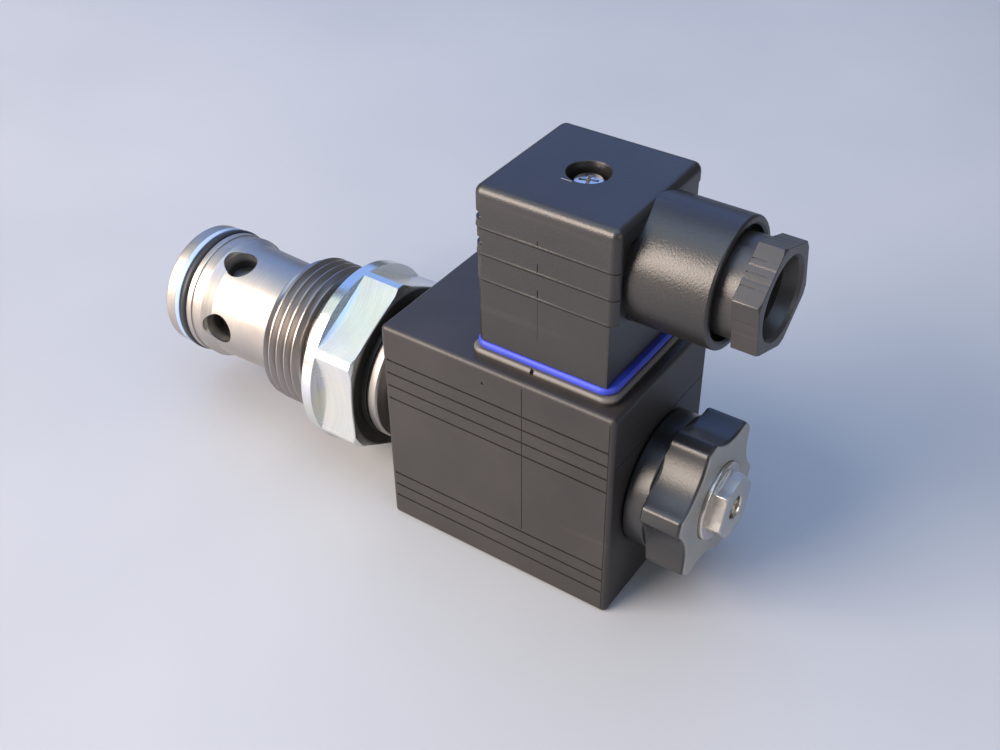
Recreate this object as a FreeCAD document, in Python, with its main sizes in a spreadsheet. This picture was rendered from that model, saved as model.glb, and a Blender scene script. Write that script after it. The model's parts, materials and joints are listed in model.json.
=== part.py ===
"""Solenoid-operated screw-in hydraulic cartridge valve, as a parametric FreeCAD document.

Frame: +X runs along the cartridge axis from the nose to the knob, +Z is up, towards the plug connector.
The origin is on the cartridge axis, in the plane of the round collar's seat face, which meets the manifold.
The valve lies on the bottom face of its coil. All sizes are millimetres.
"""
import FreeCAD, Part
import math
import operator
import os
import Sketcher

doc = FreeCAD.newDocument("CartridgeValve")

# ---------------------------------------------------------------- driving dimensions

SIZES = [
    # cartridge nose, stations behind the seat face
    ("nose_length", 45.9, "seat face to nose end"),
    ("nose_radius", 14.25, "sealing lands of the nose"),
    ("nose_chamfer", 0.5, "lead chamfer of the nose"),
    ("end_ring_width", 3.0, "land in front of the seal groove"),
    ("seal_groove_width", 3.5, "groove for the backup ring and O-ring"),
    ("seal_groove_radius", 11.9, "bottom of the seal groove"),
    ("seal_land_width", 1.5, "land behind the seal groove"),
    ("relief_width", 2.3, "shallow relief behind that land"),
    ("relief_radius", 13.95, "bottom of the relief"),
    ("port_land_end", 34.9, "end of the front land, from the seat face"),
    ("taper_end", 32.4, "end of the taper to the neck, from the seat face"),
    ("neck_front_radius", 13.25, "neck at the taper"),
    ("neck_rear_radius", 12.7, "neck at the thread"),
    ("spool_bore_radius", 9.0, "sleeve bore"),
    ("seat_bore_radius", 10.0, "counterbore for the nose seat"),
    ("seat_bore_depth", 5.9, "depth of that counterbore"),
    ("sleeve_tail_radius", 11.0, "sleeve inside the threaded body"),
    ("sleeve_tail_reach", 1.5, "sleeve beyond the seat face"),
    ("port_station", 30.6, "radial ports, from the seat face"),
    ("port_radius", 3.6, "radial ports"),
    ("port_count", 5, "radial ports round the sleeve"),
    ("port_phase", 15, "turn of the ports from +Z, degrees"),
    ("backup_width", 1.35, "backup ring"),
    ("backup_radius", 14.45, "backup ring"),
    ("nose_oring_radius", 14.6, "nose O-ring, outside"),
    ("seal_corner", 0.7, "rounding of a squeezed O-ring"),
    ("seal_gap", 0.05, "room beside a seal in its groove"),
    # threaded and hexagonal body
    ("thread_length", 15.3, "seat face to the front of the thread"),
    ("thread_radius", 16.6, "thread crest, 1-5/16 in"),
    ("thread_pitch", 2.1167, "12 threads per inch"),
    ("thread_depth", 1.15, "cut depth of the thread"),
    ("thread_half_width", 0.97, "half the thread groove's mouth"),
    ("thread_half_root", 0.19, "half the thread groove's floor"),
    ("thread_overcut", 0.1, "groove's mouth above the crest"),
    ("undercut_length", 3.8, "undercut between thread and seat"),
    ("undercut_radius", 15.0, "undercut"),
    ("face_relief_radius", 17.3, "relief in the seat face behind the O-ring"),
    ("face_relief_depth", 0.2, "that relief"),
    ("collar_radius", 20.3, "round collar with the seat face"),
    ("collar_width", 2.9, "round collar"),
    ("collar_chamfer", 0.4, "collar's front edge"),
    ("cone_length", 0.6, "cone behind the collar"),
    ("cone_radius", 17.5, "small end of the cone"),
    ("hex_flats", 36, "body hexagon across flats"),
    ("hex_end", 12.3, "back of the hexagon"),
    ("hex_chamfer_radius", 19.4, "where the corner chamfer starts"),
    ("hex_chamfer", 1.0, "axial size of the corner chamfer"),
    ("ring_radius", 15.0, "rings behind the hexagon"),
    ("step_width", 1.0, "turned step behind the hexagon"),
    ("ring_gap", 0.6, "black ring between step and steel ring"),
    ("ring_gap_sink", 0.3, "black ring below its neighbours"),
    ("ring_width", 2.1, "steel ring"),
    ("body_seal_mean", 16.05, "body O-ring, mean radius"),
    ("body_seal_section", 1.05, "body O-ring, section radius"),
    # armature tube and what it holds
    ("tube_radius", 9.5, "armature tube, outside"),
    ("tube_bore", 8.2, "armature tube, inside"),
    ("tube_start", 5.0, "front of the tube, inside the body"),
    ("tube_end", 86.7, "back of the tube"),
    ("core_end", 34.0, "back face of the fixed core"),
    ("stroke", 3.0, "travel of armature, pin and spool"),
    ("air_gap_rest", 0.2, "gap left at full stroke"),
    ("armature_end", 68.0, "back face of the armature"),
    ("armature_play", 0.06, "radial running clearance of the armature"),
    ("armature_slot_radius", 1.2, "oil passages in the armature"),
    ("armature_slot_offset", 5.5, "oil passages, off the axis"),
    ("pin_radius", 1.9, "push pin and override pin"),
    ("pin_play", 0.05, "radial running clearance of the pins"),
    ("plug_start", 68.2, "front face of the end plug"),
    ("plug_neck_radius", 6.0, "plug's neck through the washer"),
    ("plug_flats", 12, "plug hexagon across flats"),
    ("plug_hex_length", 2.8, "plug hexagon"),
    ("plug_phase", 39, "turn of the plug hexagon, degrees"),
    ("plug_recess_radius", 2.35, "recess round the override pin"),
    ("plug_recess_depth", 5.5, "that recess"),
    ("pin_sink", 0.2, "override pin below the plug's face"),
    ("plug_seal_station", 74.0, "front of the plug's O-ring groove"),
    ("plug_seal_width", 2.0, "plug's O-ring groove"),
    ("plug_seal_floor", 6.9, "bottom of that groove"),
    ("pin_seal_station", 78.0, "front of the pin's O-ring groove"),
    ("pin_seal_width", 1.8, "pin's O-ring groove"),
    ("pin_seal_radius", 3.4, "pin's O-ring groove"),
    ("washer_radius", 8.7, "bright ring before the knob"),
    ("washer_width", 1.0, "bright ring"),
    # spool and return spring
    ("spool_play", 0.04, "radial running clearance of the spool"),
    ("spool_front", 36.8, "front of the spool, from the seat face"),
    ("spool_back", 12.0, "back of the spool, from the seat face"),
    ("spool_groove_front", 26.6, "front of the metering groove"),
    ("spool_groove_back", 21.5, "back of the metering groove"),
    ("spool_groove_radius", 7.3, "bottom of the metering groove"),
    ("spool_bore_back", 20.0, "end of the spool's bore"),
    ("spool_bore", 4.5, "spool's bore"),
    ("spring_pocket", 6.4, "spool's spring pocket"),
    ("spring_shoulder", 29.0, "shoulder of the spring pocket"),
    ("cross_hole_radius", 1.4, "cross holes in the metering groove"),
    ("cross_hole_count", 4, "cross holes in the metering groove"),
    ("seat_ring_bore", 5.0, "end port in the nose seat"),
    ("seat_ring_sink", 0.4, "nose seat below the nose end"),
    ("spring_mean", 5.65, "return spring, mean radius"),
    ("spring_wire", 0.5, "return spring, wire radius"),
    ("spring_turns", 4.5, "return spring, turns"),
    # coil
    ("coil_start", 21.4, "front face of the coil"),
    ("coil_length", 52.1, "coil along the axis"),
    ("coil_width", 35.7, "coil across the axis"),
    ("coil_below", 23.6, "axis to the coil's bottom face"),
    ("coil_above", 25.5, "axis to the coil's top face"),
    ("coil_corner", 1.2, "long edges of the coil"),
    ("coil_bore_play", 0.08, "radial running clearance of the coil on the tube"),
    ("end_bore_radius", 11.6, "seal pockets in the coil's ends"),
    ("end_wall", 3.0, "moulded end walls"),
    ("plate_width", 2.5, "steel flux plates"),
    ("flux_radius", 16.4, "flux tube, outside"),
    ("flux_wall", 1.35, "flux tube, wall"),
    ("bobbin_flange", 1.5, "bobbin flanges"),
    ("bobbin_radius", 10.8, "bobbin's winding floor"),
    ("winding_radius", 14.9, "outside of the winding"),
    ("coil_seal_mean", 10.6, "coil O-rings, mean radius"),
    ("coil_seal_section", 0.95, "coil O-rings, section radius"),
    ("rib_pitch", 3.15, "spacing of the fine grooves on the coil's sides"),
    ("rib_groove", 0.45, "width of a fine groove"),
    ("rib_depth", 0.35, "depth of a fine groove"),
    ("rib_margin", 1.1, "groove end to the coil's end face"),
    ("upper_rib", 8.1, "lowest of the upper grooves, above the axis"),
    ("upper_rib_count", 4, "upper grooves"),
    ("lower_rib", 18.3, "lowest of the lower grooves, below the axis"),
    ("lower_rib_count", 3, "lower grooves"),
    # connector
    ("plug_centre", 56.0, "connector's centre along the axis"),
    ("plug_side", 28.0, "connector housing, square"),
    ("pad_side", 30.0, "pad on the coil under the connector"),
    ("pad_height", 1.6, "that pad"),
    ("pad_corner", 3.5, "pad's corners"),
    ("gasket_side", 28.7, "gasket, square"),
    ("gasket_height", 1.6, "gasket"),
    ("gasket_corner", 4.0, "gasket's corners"),
    ("gasket_window", 19.6, "opening in the gasket"),
    ("plug_top", 60.9, "top face of the connector, above the axis"),
    ("plug_corner", 2.5, "connector's upright corners"),
    ("plug_wall", 1.8, "connector's walls"),
    ("roof_thickness", 2.5, "connector's roof"),
    ("screw_recess_radius", 4.0, "recess for the screw head"),
    ("screw_recess_depth", 4.0, "recess for the screw head"),
    ("screw_hole_radius", 1.75, "clearance hole for the centre screw"),
    ("pillar_radius", 4.9, "pillar round the centre screw"),
    ("pillar_length", 5.0, "pillar below the roof"),
    ("gland_height", 48.9, "cable axis above the cartridge axis"),
    ("boss_radius", 11.9, "cable boss"),
    ("boss_end", 85.7, "end of the cable boss"),
    ("boss_recess_radius", 10.3, "recess in the boss's end"),
    ("boss_recess_depth", 2.8, "recess in the boss's end"),
    ("gland_thread_radius", 8.0, "gland thread"),
    ("gland_play", 0.05, "radial play of the gland thread"),
    ("grommet_start", 70.5, "front of the rubber grommet"),
    ("grommet_end", 76.8, "back of the rubber grommet"),
    ("grommet_bore", 4.0, "cable bore in the grommet"),
    ("gland_washer_width", 0.8, "gland washer"),
    ("gland_washer_bore", 4.8, "gland washer"),
    ("gland_washer_radius", 7.8, "gland washer"),
    ("nut_collar_start", 84.0, "gland nut's collar"),
    ("nut_collar_radius", 9.2, "gland nut's collar"),
    ("nut_hex_start", 88.7, "gland nut's hexagon"),
    ("nut_end", 93.6, "gland nut's end face"),
    ("nut_flats", 18.4, "gland nut across flats"),
    ("nut_bore", 6.5, "gland nut's bore"),
    ("nut_phase", 10, "turn of the gland nut, degrees"),
    # contacts
    ("blade_width", 6.3, "contact blades"),
    ("blade_thickness", 0.8, "contact blades"),
    ("blade_bottom", 17.6, "foot of the blades, above the axis"),
    ("blade_top", 36.0, "tip of the blades, above the axis"),
    ("blade_offset", 9.0, "blades from the centre screw"),
    ("blade_play", 0.2, "room round a blade in its slot"),
    ("carrier_side", 24.2, "insulating insert, square"),
    ("carrier_bottom", 28.9, "foot of the insert, above the axis"),
    ("carrier_top", 41.0, "top of the insert, above the axis"),
    ("clamp_length", 6.0, "brass clamps"),
    ("clamp_width", 7.0, "brass clamps"),
    ("clamp_height", 3.6, "brass clamps"),
    ("clamp_screw_radius", 1.25, "clamp screws, shank"),
    ("clamp_head_radius", 2.0, "clamp screws, head"),
    ("clamp_head_height", 1.2, "clamp screws, head"),
    ("bush_radius", 2.8, "brass bush of the centre screw"),
    ("bush_bottom", 18.0, "foot of the bush, above the axis"),
    ("screw_radius", 1.5, "centre screw, M3"),
    ("screw_play", 0.05, "radial play of the centre screw in its bush"),
    ("screw_foot", 21.5, "tip of the centre screw, above the axis"),
    ("screw_head_radius", 2.8, "centre screw's head"),
    ("screw_head_height", 1.9, "centre screw's head"),
    ("screw_slot_width", 0.7, "driver slots"),
    ("screw_slot_length", 3.6, "driver slots"),
    ("screw_slot_depth", 0.9, "driver slots"),
    ("screw_seal_height", 0.5, "seal under the screw head"),
    # coil nut
    ("knob_gap", 0.4, "coil face to the knob"),
    ("knob_boss_radius", 13.8, "round foot of the knob"),
    ("lobe_start", 78.2, "front of the lobes"),
    ("lobe_radius", 15.8, "lobes"),
    ("lobe_count", 6, "lobes"),
    ("lobe_phase", 45, "turn of the lobes, degrees"),
    ("scallop_radius", 13.2, "hollows between the lobes"),
    ("scallop_centre", 25.9, "centre of a hollow's arc, off the axis"),
    ("bush_start", 76.0, "front of the knob's threaded bush"),
    ("bush_wall_radius", 11.2, "knob's threaded bush, outside"),
    ("bush_play", 0.05, "radial play of the bush on the tube"),
    ("knob_lip", 0.8, "front lip that covers the bush"),
    ("knob_seal_mean", 12.4, "knob's O-ring, mean radius"),
    ("knob_seal_section", 0.7, "knob's O-ring, section radius"),
    ("knob_seal_depth", 1.15, "groove for the knob's O-ring"),
]

HEX_CORNER = 1 / math.sqrt(3)      # corner radius of a hexagon, as a share of its width across flats
QUARTER_TURN = 90
FULL_TURN = 360
TOLERANCE = 1e-6
OPERATIONS = {"+": operator.add, "-": operator.sub, "*": operator.mul, "/": operator.truediv}


class Size:
    """A length that carries its value and its formula in the sheet."""

    def __init__(self, value, formula):
        self.value = value
        self.formula = formula

    def __add__(self, other):
        return combine(self, "+", other)

    def __radd__(self, other):
        return combine(other, "+", self)

    def __sub__(self, other):
        return combine(self, "-", other)

    def __rsub__(self, other):
        return combine(other, "-", self)

    def __mul__(self, other):
        return combine(self, "*", other)

    def __rmul__(self, other):
        return combine(other, "*", self)

    def __truediv__(self, other):
        return combine(self, "/", other)

    def __neg__(self):
        return combine(0, "-", self)


def as_size(thing):
    """A Size for a Size or a plain number."""
    if isinstance(thing, Size):
        return thing
    return Size(float(thing), f"({float(thing):.9f})")


def combine(left, sign, right):
    """The Size of two lengths joined by an arithmetic sign."""
    left = as_size(left)
    right = as_size(right)
    return Size(OPERATIONS[sign](left.value, right.value), f"({left.formula} {sign} {right.formula})")


class SizeSheet:
    """The document's spreadsheet: one row per driving dimension, read as attributes."""

    def __init__(self, rows):
        self.sheet = doc.addObject("Spreadsheet::Sheet", "Sizes")
        for number, (name, value, meaning) in enumerate(rows, start=1):
            self.sheet.set(f"A{number}", meaning)
            self.sheet.set(f"B{number}", str(value))
            self.sheet.setAlias(f"B{number}", name)
            setattr(self, name, Size(float(value), f"Sizes.{name}"))


S = SizeSheet(SIZES)
doc.recompute()
pieces = []


# ---------------------------------------------------------------- building tools

def new_body(label):
    """An empty body for one sub-part."""
    body = doc.addObject("PartDesign::Body", label)
    body.Label = label
    pieces.append(body)
    return body


def sketch_on(body, plane, name, offset=0):
    """A sketch on one of the body's own origin planes, moved along its normal."""
    sketch = body.newObject("Sketcher::SketchObject", name)
    support = next(part for part in body.Origin.OriginFeatures if part.Role == plane)
    sketch.AttachmentSupport = (support, [""])
    sketch.MapMode = "FlatFace"
    sketch.setExpression("AttachmentOffset.Base.z", as_size(offset).formula)
    return sketch


def bind(sketch, kind, geometry, point, size):
    """Hold one coordinate or size of a sketch at a sheet formula."""
    size = as_size(size)
    axis = {"DistanceX": -2, "DistanceY": -1}.get(kind)
    if axis is not None and abs(size.value) < TOLERANCE:
        sketch.addConstraint(Sketcher.Constraint("PointOnObject", geometry, point, axis))
        return
    if axis is None:
        index = sketch.addConstraint(Sketcher.Constraint(kind, geometry, size.value))
    else:
        index = sketch.addConstraint(Sketcher.Constraint(kind, geometry, point, size.value))
    sketch.setExpression(f"Constraints[{index}]", size.formula)


def add_polygon(sketch, corners):
    """A closed outline of straight edges through (across, up) corners."""
    points = [FreeCAD.Vector(as_size(across).value, as_size(up).value, 0) for across, up in corners]
    first = sketch.GeometryCount
    count = len(points)
    for index in range(count):
        sketch.addGeometry(Part.LineSegment(points[index], points[(index + 1) % count]), False)
    for index, (across, up) in enumerate(corners):
        following = first + (index + 1) % count
        sketch.addConstraint(Sketcher.Constraint("Coincident", first + index, 2, following, 1))
        bind(sketch, "DistanceX", first + index, 1, across)
        bind(sketch, "DistanceY", first + index, 1, up)


def add_circle(sketch, across, up, radius):
    """A circle at (across, up)."""
    centre = FreeCAD.Vector(as_size(across).value, as_size(up).value, 0)
    index = sketch.addGeometry(Part.Circle(centre, FreeCAD.Vector(0, 0, 1), as_size(radius).value), False)
    bind(sketch, "DistanceX", index, 3, across)
    bind(sketch, "DistanceY", index, 3, up)
    bind(sketch, "Radius", index, None, radius)


def rectangle(left, bottom, right, top):
    """The four corners of a rectangle."""
    return [(left, bottom), (right, bottom), (right, top), (left, top)]


def revolve(body, outline, name, cut=False):
    """Turn an (x, radius) outline about the body's X axis, as a solid or as a groove."""
    sketch = sketch_on(body, "XZ_Plane", f"{name}_outline")
    add_polygon(sketch, outline)
    kind = "PartDesign::Groove" if cut else "PartDesign::Revolution"
    feature = body.newObject(kind, name)
    feature.Profile = sketch
    feature.ReferenceAxis = (sketch, ["H_Axis"])
    feature.Angle = FULL_TURN
    return feature


def turned(label, outline):
    """A sub-part turned about its own X axis."""
    body = new_body(label)
    revolve(body, outline, f"{label}_turning")
    return body


def ring(label, start, end, inner, outer):
    """A plain ring or sleeve along X."""
    return turned(label, rectangle(start, inner, end, outer))


def pad(body, sketch, length, name):
    """Extrude a sketch along its plane's normal."""
    feature = body.newObject("PartDesign::Pad", name)
    feature.Profile = sketch
    feature.setExpression("Length", as_size(length).formula)
    return feature


def pocket(body, sketch, name, length, along_normal=True):
    """Cut a sketch to a depth, along or against its plane's normal."""
    feature = body.newObject("PartDesign::Pocket", name)
    feature.Profile = sketch
    feature.Reversed = along_normal
    feature.setExpression("Length", as_size(length).formula)
    return feature


def repeat_round(body, feature, count, name):
    """Repeat a feature round the body's X axis."""
    pattern = body.newObject("PartDesign::PolarPattern", name)
    pattern.Originals = [feature]
    axis = next(part for part in body.Origin.OriginFeatures if part.Role == "X_Axis")
    pattern.Axis = (axis, [""])
    pattern.Angle = FULL_TURN
    pattern.setExpression("Occurrences", count.formula)
    body.Tip = pattern
    return pattern


def fillet(body, feature, radius, name, chosen):
    """Round the edges of a feature that the chosen test picks."""
    doc.recompute()
    edges = [f"Edge{number}" for number, edge in enumerate(feature.Shape.Edges, start=1) if chosen(edge)]
    rounding = body.newObject("PartDesign::Fillet", name)
    rounding.Base = (feature, edges)
    rounding.setExpression("Radius", as_size(radius).formula)
    body.Tip = rounding
    return rounding


def runs_along(axis):
    """A test for straight edges parallel to a unit vector."""
    def test(edge):
        straight = isinstance(edge.Curve, Part.Line)
        return straight and abs(abs(edge.tangentAt(edge.FirstParameter).dot(axis)) - 1) < TOLERANCE
    return test


def hexagon(flats):
    """Corner points of a hexagon with one corner straight up."""
    corners = []
    for number in range(6):
        angle = math.radians(QUARTER_TURN + number * FULL_TURN / 6)
        radius = flats * HEX_CORNER
        corners.append((radius * round(math.cos(angle), 12), radius * round(math.sin(angle), 12)))
    return corners


def hex_bar(body, flats, start, end, name):
    """A hexagonal bar along X, joined to the body."""
    sketch = sketch_on(body, "YZ_Plane", f"{name}_outline", start)
    add_polygon(sketch, hexagon(flats))
    return pad(body, sketch, end - start, name)


def oring(label, station, mean_radius, section_radius):
    """An O-ring about the cartridge axis, as a torus."""
    torus = doc.addObject("Part::Torus", label)
    torus.Label = label
    torus.setExpression("Radius1", mean_radius.formula)
    torus.setExpression("Radius2", section_radius.formula)
    lying = FreeCAD.Rotation(FreeCAD.Vector(0, 1, 0), QUARTER_TURN)
    torus.Placement = FreeCAD.Placement(FreeCAD.Vector(), lying)
    torus.setExpression("Placement.Base.x", as_size(station).formula)
    pieces.append(torus)
    return torus


def set_upright(body, across):
    """Stand a body turned about X upright, on the vertical axis at a station along the cartridge."""
    upright = FreeCAD.Rotation(FreeCAD.Vector(0, 1, 0), -QUARTER_TURN)
    body.Placement = FreeCAD.Placement(FreeCAD.Vector(), upright)
    body.setExpression("Placement.Base.x", across.formula)


def turn_about_axis(body, phase):
    """Turn a body about the cartridge axis by a phase in degrees."""
    body.Placement = FreeCAD.Placement(FreeCAD.Vector(), FreeCAD.Rotation(FreeCAD.Vector(1, 0, 0), 0))
    body.setExpression("Placement.Rotation.Angle", phase.formula)


def lift_to_gland(body):
    """Move a body from the cartridge axis up to the cable axis."""
    body.setExpression("Placement.Base.z", S.gland_height.formula)


def block(label, low, high):
    """A box primitive between two corners, for use in a boolean or as a sub-part."""
    box = doc.addObject("Part::Box", label)
    box.Label = label
    for side, name in enumerate("xyz"):
        size_name = ("Length", "Width", "Height")[side]
        box.setExpression(size_name, (as_size(high[side]) - low[side]).formula)
        box.setExpression(f"Placement.Base.{name}", as_size(low[side]).formula)
    return box


def rod(label, centre, bottom, top, radius):
    """An upright cylinder primitive at (x, y) centre."""
    cylinder = doc.addObject("Part::Cylinder", label)
    cylinder.setExpression("Radius", as_size(radius).formula)
    cylinder.setExpression("Height", (as_size(top) - bottom).formula)
    cylinder.setExpression("Placement.Base.x", as_size(centre[0]).formula)
    cylinder.setExpression("Placement.Base.y", as_size(centre[1]).formula)
    cylinder.setExpression("Placement.Base.z", as_size(bottom).formula)
    return cylinder


def group_of(label, members, cutters=()):
    """One sub-part of separate solids: the members, less the cutters."""
    group = doc.addObject("Part::Compound", f"{label}_solids" if cutters else label)
    group.Links = members
    if cutters:
        tools = doc.addObject("Part::Compound", f"{label}_cutters")
        tools.Links = list(cutters)
        solids = group
        group = doc.addObject("Part::Cut", label)
        group.Base = solids
        group.Tool = tools
    group.Label = label
    pieces.append(group)
    return group


# ---------------------------------------------------------------- cartridge

nose_end = -S.nose_length
groove_front = nose_end + S.end_ring_width
groove_back = groove_front + S.seal_groove_width
relief_front = groove_back + S.seal_land_width
seat_back = nose_end + S.seat_bore_depth


def make_valve_sleeve():
    """Nose sleeve with its seal groove, relief, taper, neck and radial ports."""
    body = turned("valve_sleeve", [
        (nose_end, S.seat_bore_radius),
        (nose_end, S.nose_radius - S.nose_chamfer),
        (nose_end + S.nose_chamfer, S.nose_radius),
        (groove_front, S.nose_radius),
        (groove_front, S.seal_groove_radius),
        (groove_back, S.seal_groove_radius),
        (groove_back, S.nose_radius),
        (relief_front, S.nose_radius),
        (relief_front, S.relief_radius),
        (relief_front + S.relief_width, S.relief_radius),
        (relief_front + S.relief_width, S.nose_radius),
        (-S.port_land_end, S.nose_radius),
        (-S.taper_end, S.neck_front_radius),
        (-S.thread_length, S.neck_rear_radius),
        (-S.thread_length, S.sleeve_tail_radius),
        (S.sleeve_tail_reach, S.sleeve_tail_radius),
        (S.sleeve_tail_reach, S.spool_bore_radius),
        (seat_back, S.spool_bore_radius),
        (seat_back, S.seat_bore_radius),
    ])
    sketch = sketch_on(body, "XY_Plane", "port_outline")
    add_circle(sketch, -S.port_station, 0, S.port_radius)
    port = pocket(body, sketch, "port", S.nose_radius)
    repeat_round(body, port, S.port_count, "ports")
    turn_about_axis(body, S.port_phase)


def make_nose_seals():
    """Backup ring and O-ring, side by side in the nose groove."""
    backup_front = groove_front + S.seal_gap
    backup_back = backup_front + S.backup_width
    ring("nose_backup_ring", backup_front, backup_back, S.seal_groove_radius, S.backup_radius)
    front = backup_back + S.seal_gap
    back = groove_back - S.seal_gap
    low = S.seal_groove_radius
    high = S.nose_oring_radius
    turned("nose_oring", [
        (front, low + S.seal_corner),
        (front + S.seal_corner, low),
        (back - S.seal_corner, low),
        (back, low + S.seal_corner),
        (back, high - S.seal_corner),
        (back - S.seal_corner, high),
        (front + S.seal_corner, high),
        (front, high - S.seal_corner),
    ])


def make_nose_seat():
    """Ring pressed into the nose: its bore is the end port, its back face carries the spring."""
    ring("nose_seat", nose_end + S.seat_ring_sink, seat_back, S.seat_ring_bore, S.seat_bore_radius)


def make_main_spool():
    """Spool with a metering groove, cross holes and a spring pocket in its front."""
    outer = S.spool_bore_radius - S.spool_play
    body = turned("main_spool", [
        (-S.spool_front, S.spring_pocket),
        (-S.spool_front, outer),
        (-S.spool_groove_front, outer),
        (-S.spool_groove_front, S.spool_groove_radius),
        (-S.spool_groove_back, S.spool_groove_radius),
        (-S.spool_groove_back, outer),
        (-S.spool_back, outer),
        (-S.spool_back, 0),
        (-S.spool_bore_back, 0),
        (-S.spool_bore_back, S.spool_bore),
        (-S.spring_shoulder, S.spool_bore),
        (-S.spring_shoulder, S.spring_pocket),
    ])
    sketch = sketch_on(body, "XY_Plane", "cross_hole_outline")
    add_circle(sketch, -(S.spool_groove_front + S.spool_groove_back) / 2, 0, S.cross_hole_radius)
    hole = pocket(body, sketch, "cross_hole", S.spool_bore_radius)
    repeat_round(body, hole, S.cross_hole_count, "cross_holes")


def make_return_spring():
    """Round-wire spring from the nose seat to the spool's shoulder."""
    body = new_body("return_spring")
    sketch = sketch_on(body, "XZ_Plane", "wire_section")
    add_circle(sketch, seat_back + S.spring_wire, S.spring_mean, S.spring_wire)
    helix = body.newObject("PartDesign::AdditiveHelix", "spring_helix")
    helix.Profile = sketch
    helix.ReferenceAxis = (sketch, ["H_Axis"])
    helix.Mode = 2
    rise = -S.spring_shoulder - seat_back - S.spring_wire * 2
    helix.setExpression("Height", rise.formula)
    helix.setExpression("Turns", S.spring_turns.formula)


def make_hex_adapter():
    """Body with the cartridge thread, seat collar, hexagon and the step behind it."""
    front = -S.thread_length
    lead = S.thread_radius - S.undercut_radius
    step_end = S.hex_end + S.step_width
    body = turned("hex_adapter", [
        (front, S.sleeve_tail_radius),
        (front, S.undercut_radius),
        (front + lead, S.thread_radius),
        (-S.undercut_length, S.thread_radius),
        (-S.undercut_length, S.undercut_radius),
        (S.face_relief_depth, S.undercut_radius),
        (S.face_relief_depth, S.face_relief_radius),
        (0, S.face_relief_radius),
        (0, S.collar_radius - S.collar_chamfer),
        (S.collar_chamfer, S.collar_radius),
        (S.collar_width, S.collar_radius),
        (S.collar_width + S.cone_length, S.cone_radius),
        (S.hex_end, S.cone_radius),
        (S.hex_end, S.ring_radius),
        (step_end, S.ring_radius),
        (step_end, S.tube_radius),
        (S.sleeve_tail_reach, S.tube_radius),
        (S.sleeve_tail_reach, S.sleeve_tail_radius),
    ])
    hex_bar(body, S.hex_flats, S.collar_chamfer * 2, S.hex_end, "hexagon")
    beyond = S.hex_flats * HEX_CORNER + S.collar_chamfer
    revolve(body, [
        (S.hex_end - S.hex_chamfer, beyond),
        (S.hex_end, S.hex_chamfer_radius),
        (S.hex_end + S.collar_chamfer, beyond),
    ], "hex_back_chamfer", cut=True)
    revolve(body, rectangle(0, S.collar_radius, S.hex_end, beyond), "hex_corner_turning", cut=True)
    revolve(body, rectangle(S.collar_chamfer, 0, S.hex_end + S.collar_chamfer, S.tube_radius),
            "tube_bore", cut=True)
    revolve(body, rectangle(front, 0, S.sleeve_tail_reach, S.sleeve_tail_radius), "sleeve_bore", cut=True)
    cut_thread(body)


def cut_thread(body):
    """Helical V groove of the cartridge thread, run out into the undercut."""
    sketch = sketch_on(body, "XZ_Plane", "thread_section")
    start = -S.thread_length - S.thread_pitch
    crest = S.thread_radius + S.thread_overcut
    floor = S.thread_radius - S.thread_depth
    add_polygon(sketch, [
        (start - S.thread_half_width, crest),
        (start - S.thread_half_root, floor),
        (start + S.thread_half_root, floor),
        (start + S.thread_half_width, crest),
    ])
    helix = body.newObject("PartDesign::SubtractiveHelix", "thread")
    helix.Profile = sketch
    helix.ReferenceAxis = (sketch, ["H_Axis"])
    helix.Mode = 0
    helix.setExpression("Pitch", S.thread_pitch.formula)
    reach = S.thread_length + S.thread_pitch - S.undercut_length + S.thread_half_width
    helix.setExpression("Height", reach.formula)
    helix.LeftHanded = False


def make_back_rings():
    """Black ring and steel ring behind the hexagon, on the tube."""
    gap_front = S.hex_end + S.step_width
    gap_back = gap_front + S.ring_gap
    ring("collar_oring", gap_front, gap_back, S.tube_radius, S.ring_radius - S.ring_gap_sink)
    back = gap_back + S.ring_width
    turned("collar_ring", [
        (gap_back, S.tube_radius),
        (gap_back, S.ring_radius),
        (back - S.collar_chamfer, S.ring_radius),
        (back, S.ring_radius - S.collar_chamfer),
        (back, S.tube_radius),
    ])


def make_tube_and_cores():
    """Armature tube, fixed core, armature and push pin."""
    ring("armature_tube", S.tube_start, S.tube_end, S.tube_bore, S.tube_radius)
    pin_hole = S.pin_radius + S.pin_play
    turned("pole_piece", [
        (S.sleeve_tail_reach, pin_hole),
        (S.sleeve_tail_reach, S.tube_radius),
        (S.tube_start, S.tube_radius),
        (S.tube_start, S.tube_bore),
        (S.core_end, S.tube_bore),
        (S.core_end, pin_hole),
    ])
    front = S.core_end + S.stroke + S.air_gap_rest
    body = ring("armature", front, S.armature_end, 0, S.tube_bore - S.armature_play)
    sketch = sketch_on(body, "YZ_Plane", "oil_passage_outline", front)
    for side in (1, -1):
        add_circle(sketch, S.armature_slot_offset * side, 0, S.armature_slot_radius)
    pocket(body, sketch, "oil_passages", S.armature_end - front)
    ring("push_pin", -S.spool_back, front, 0, S.pin_radius)


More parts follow.
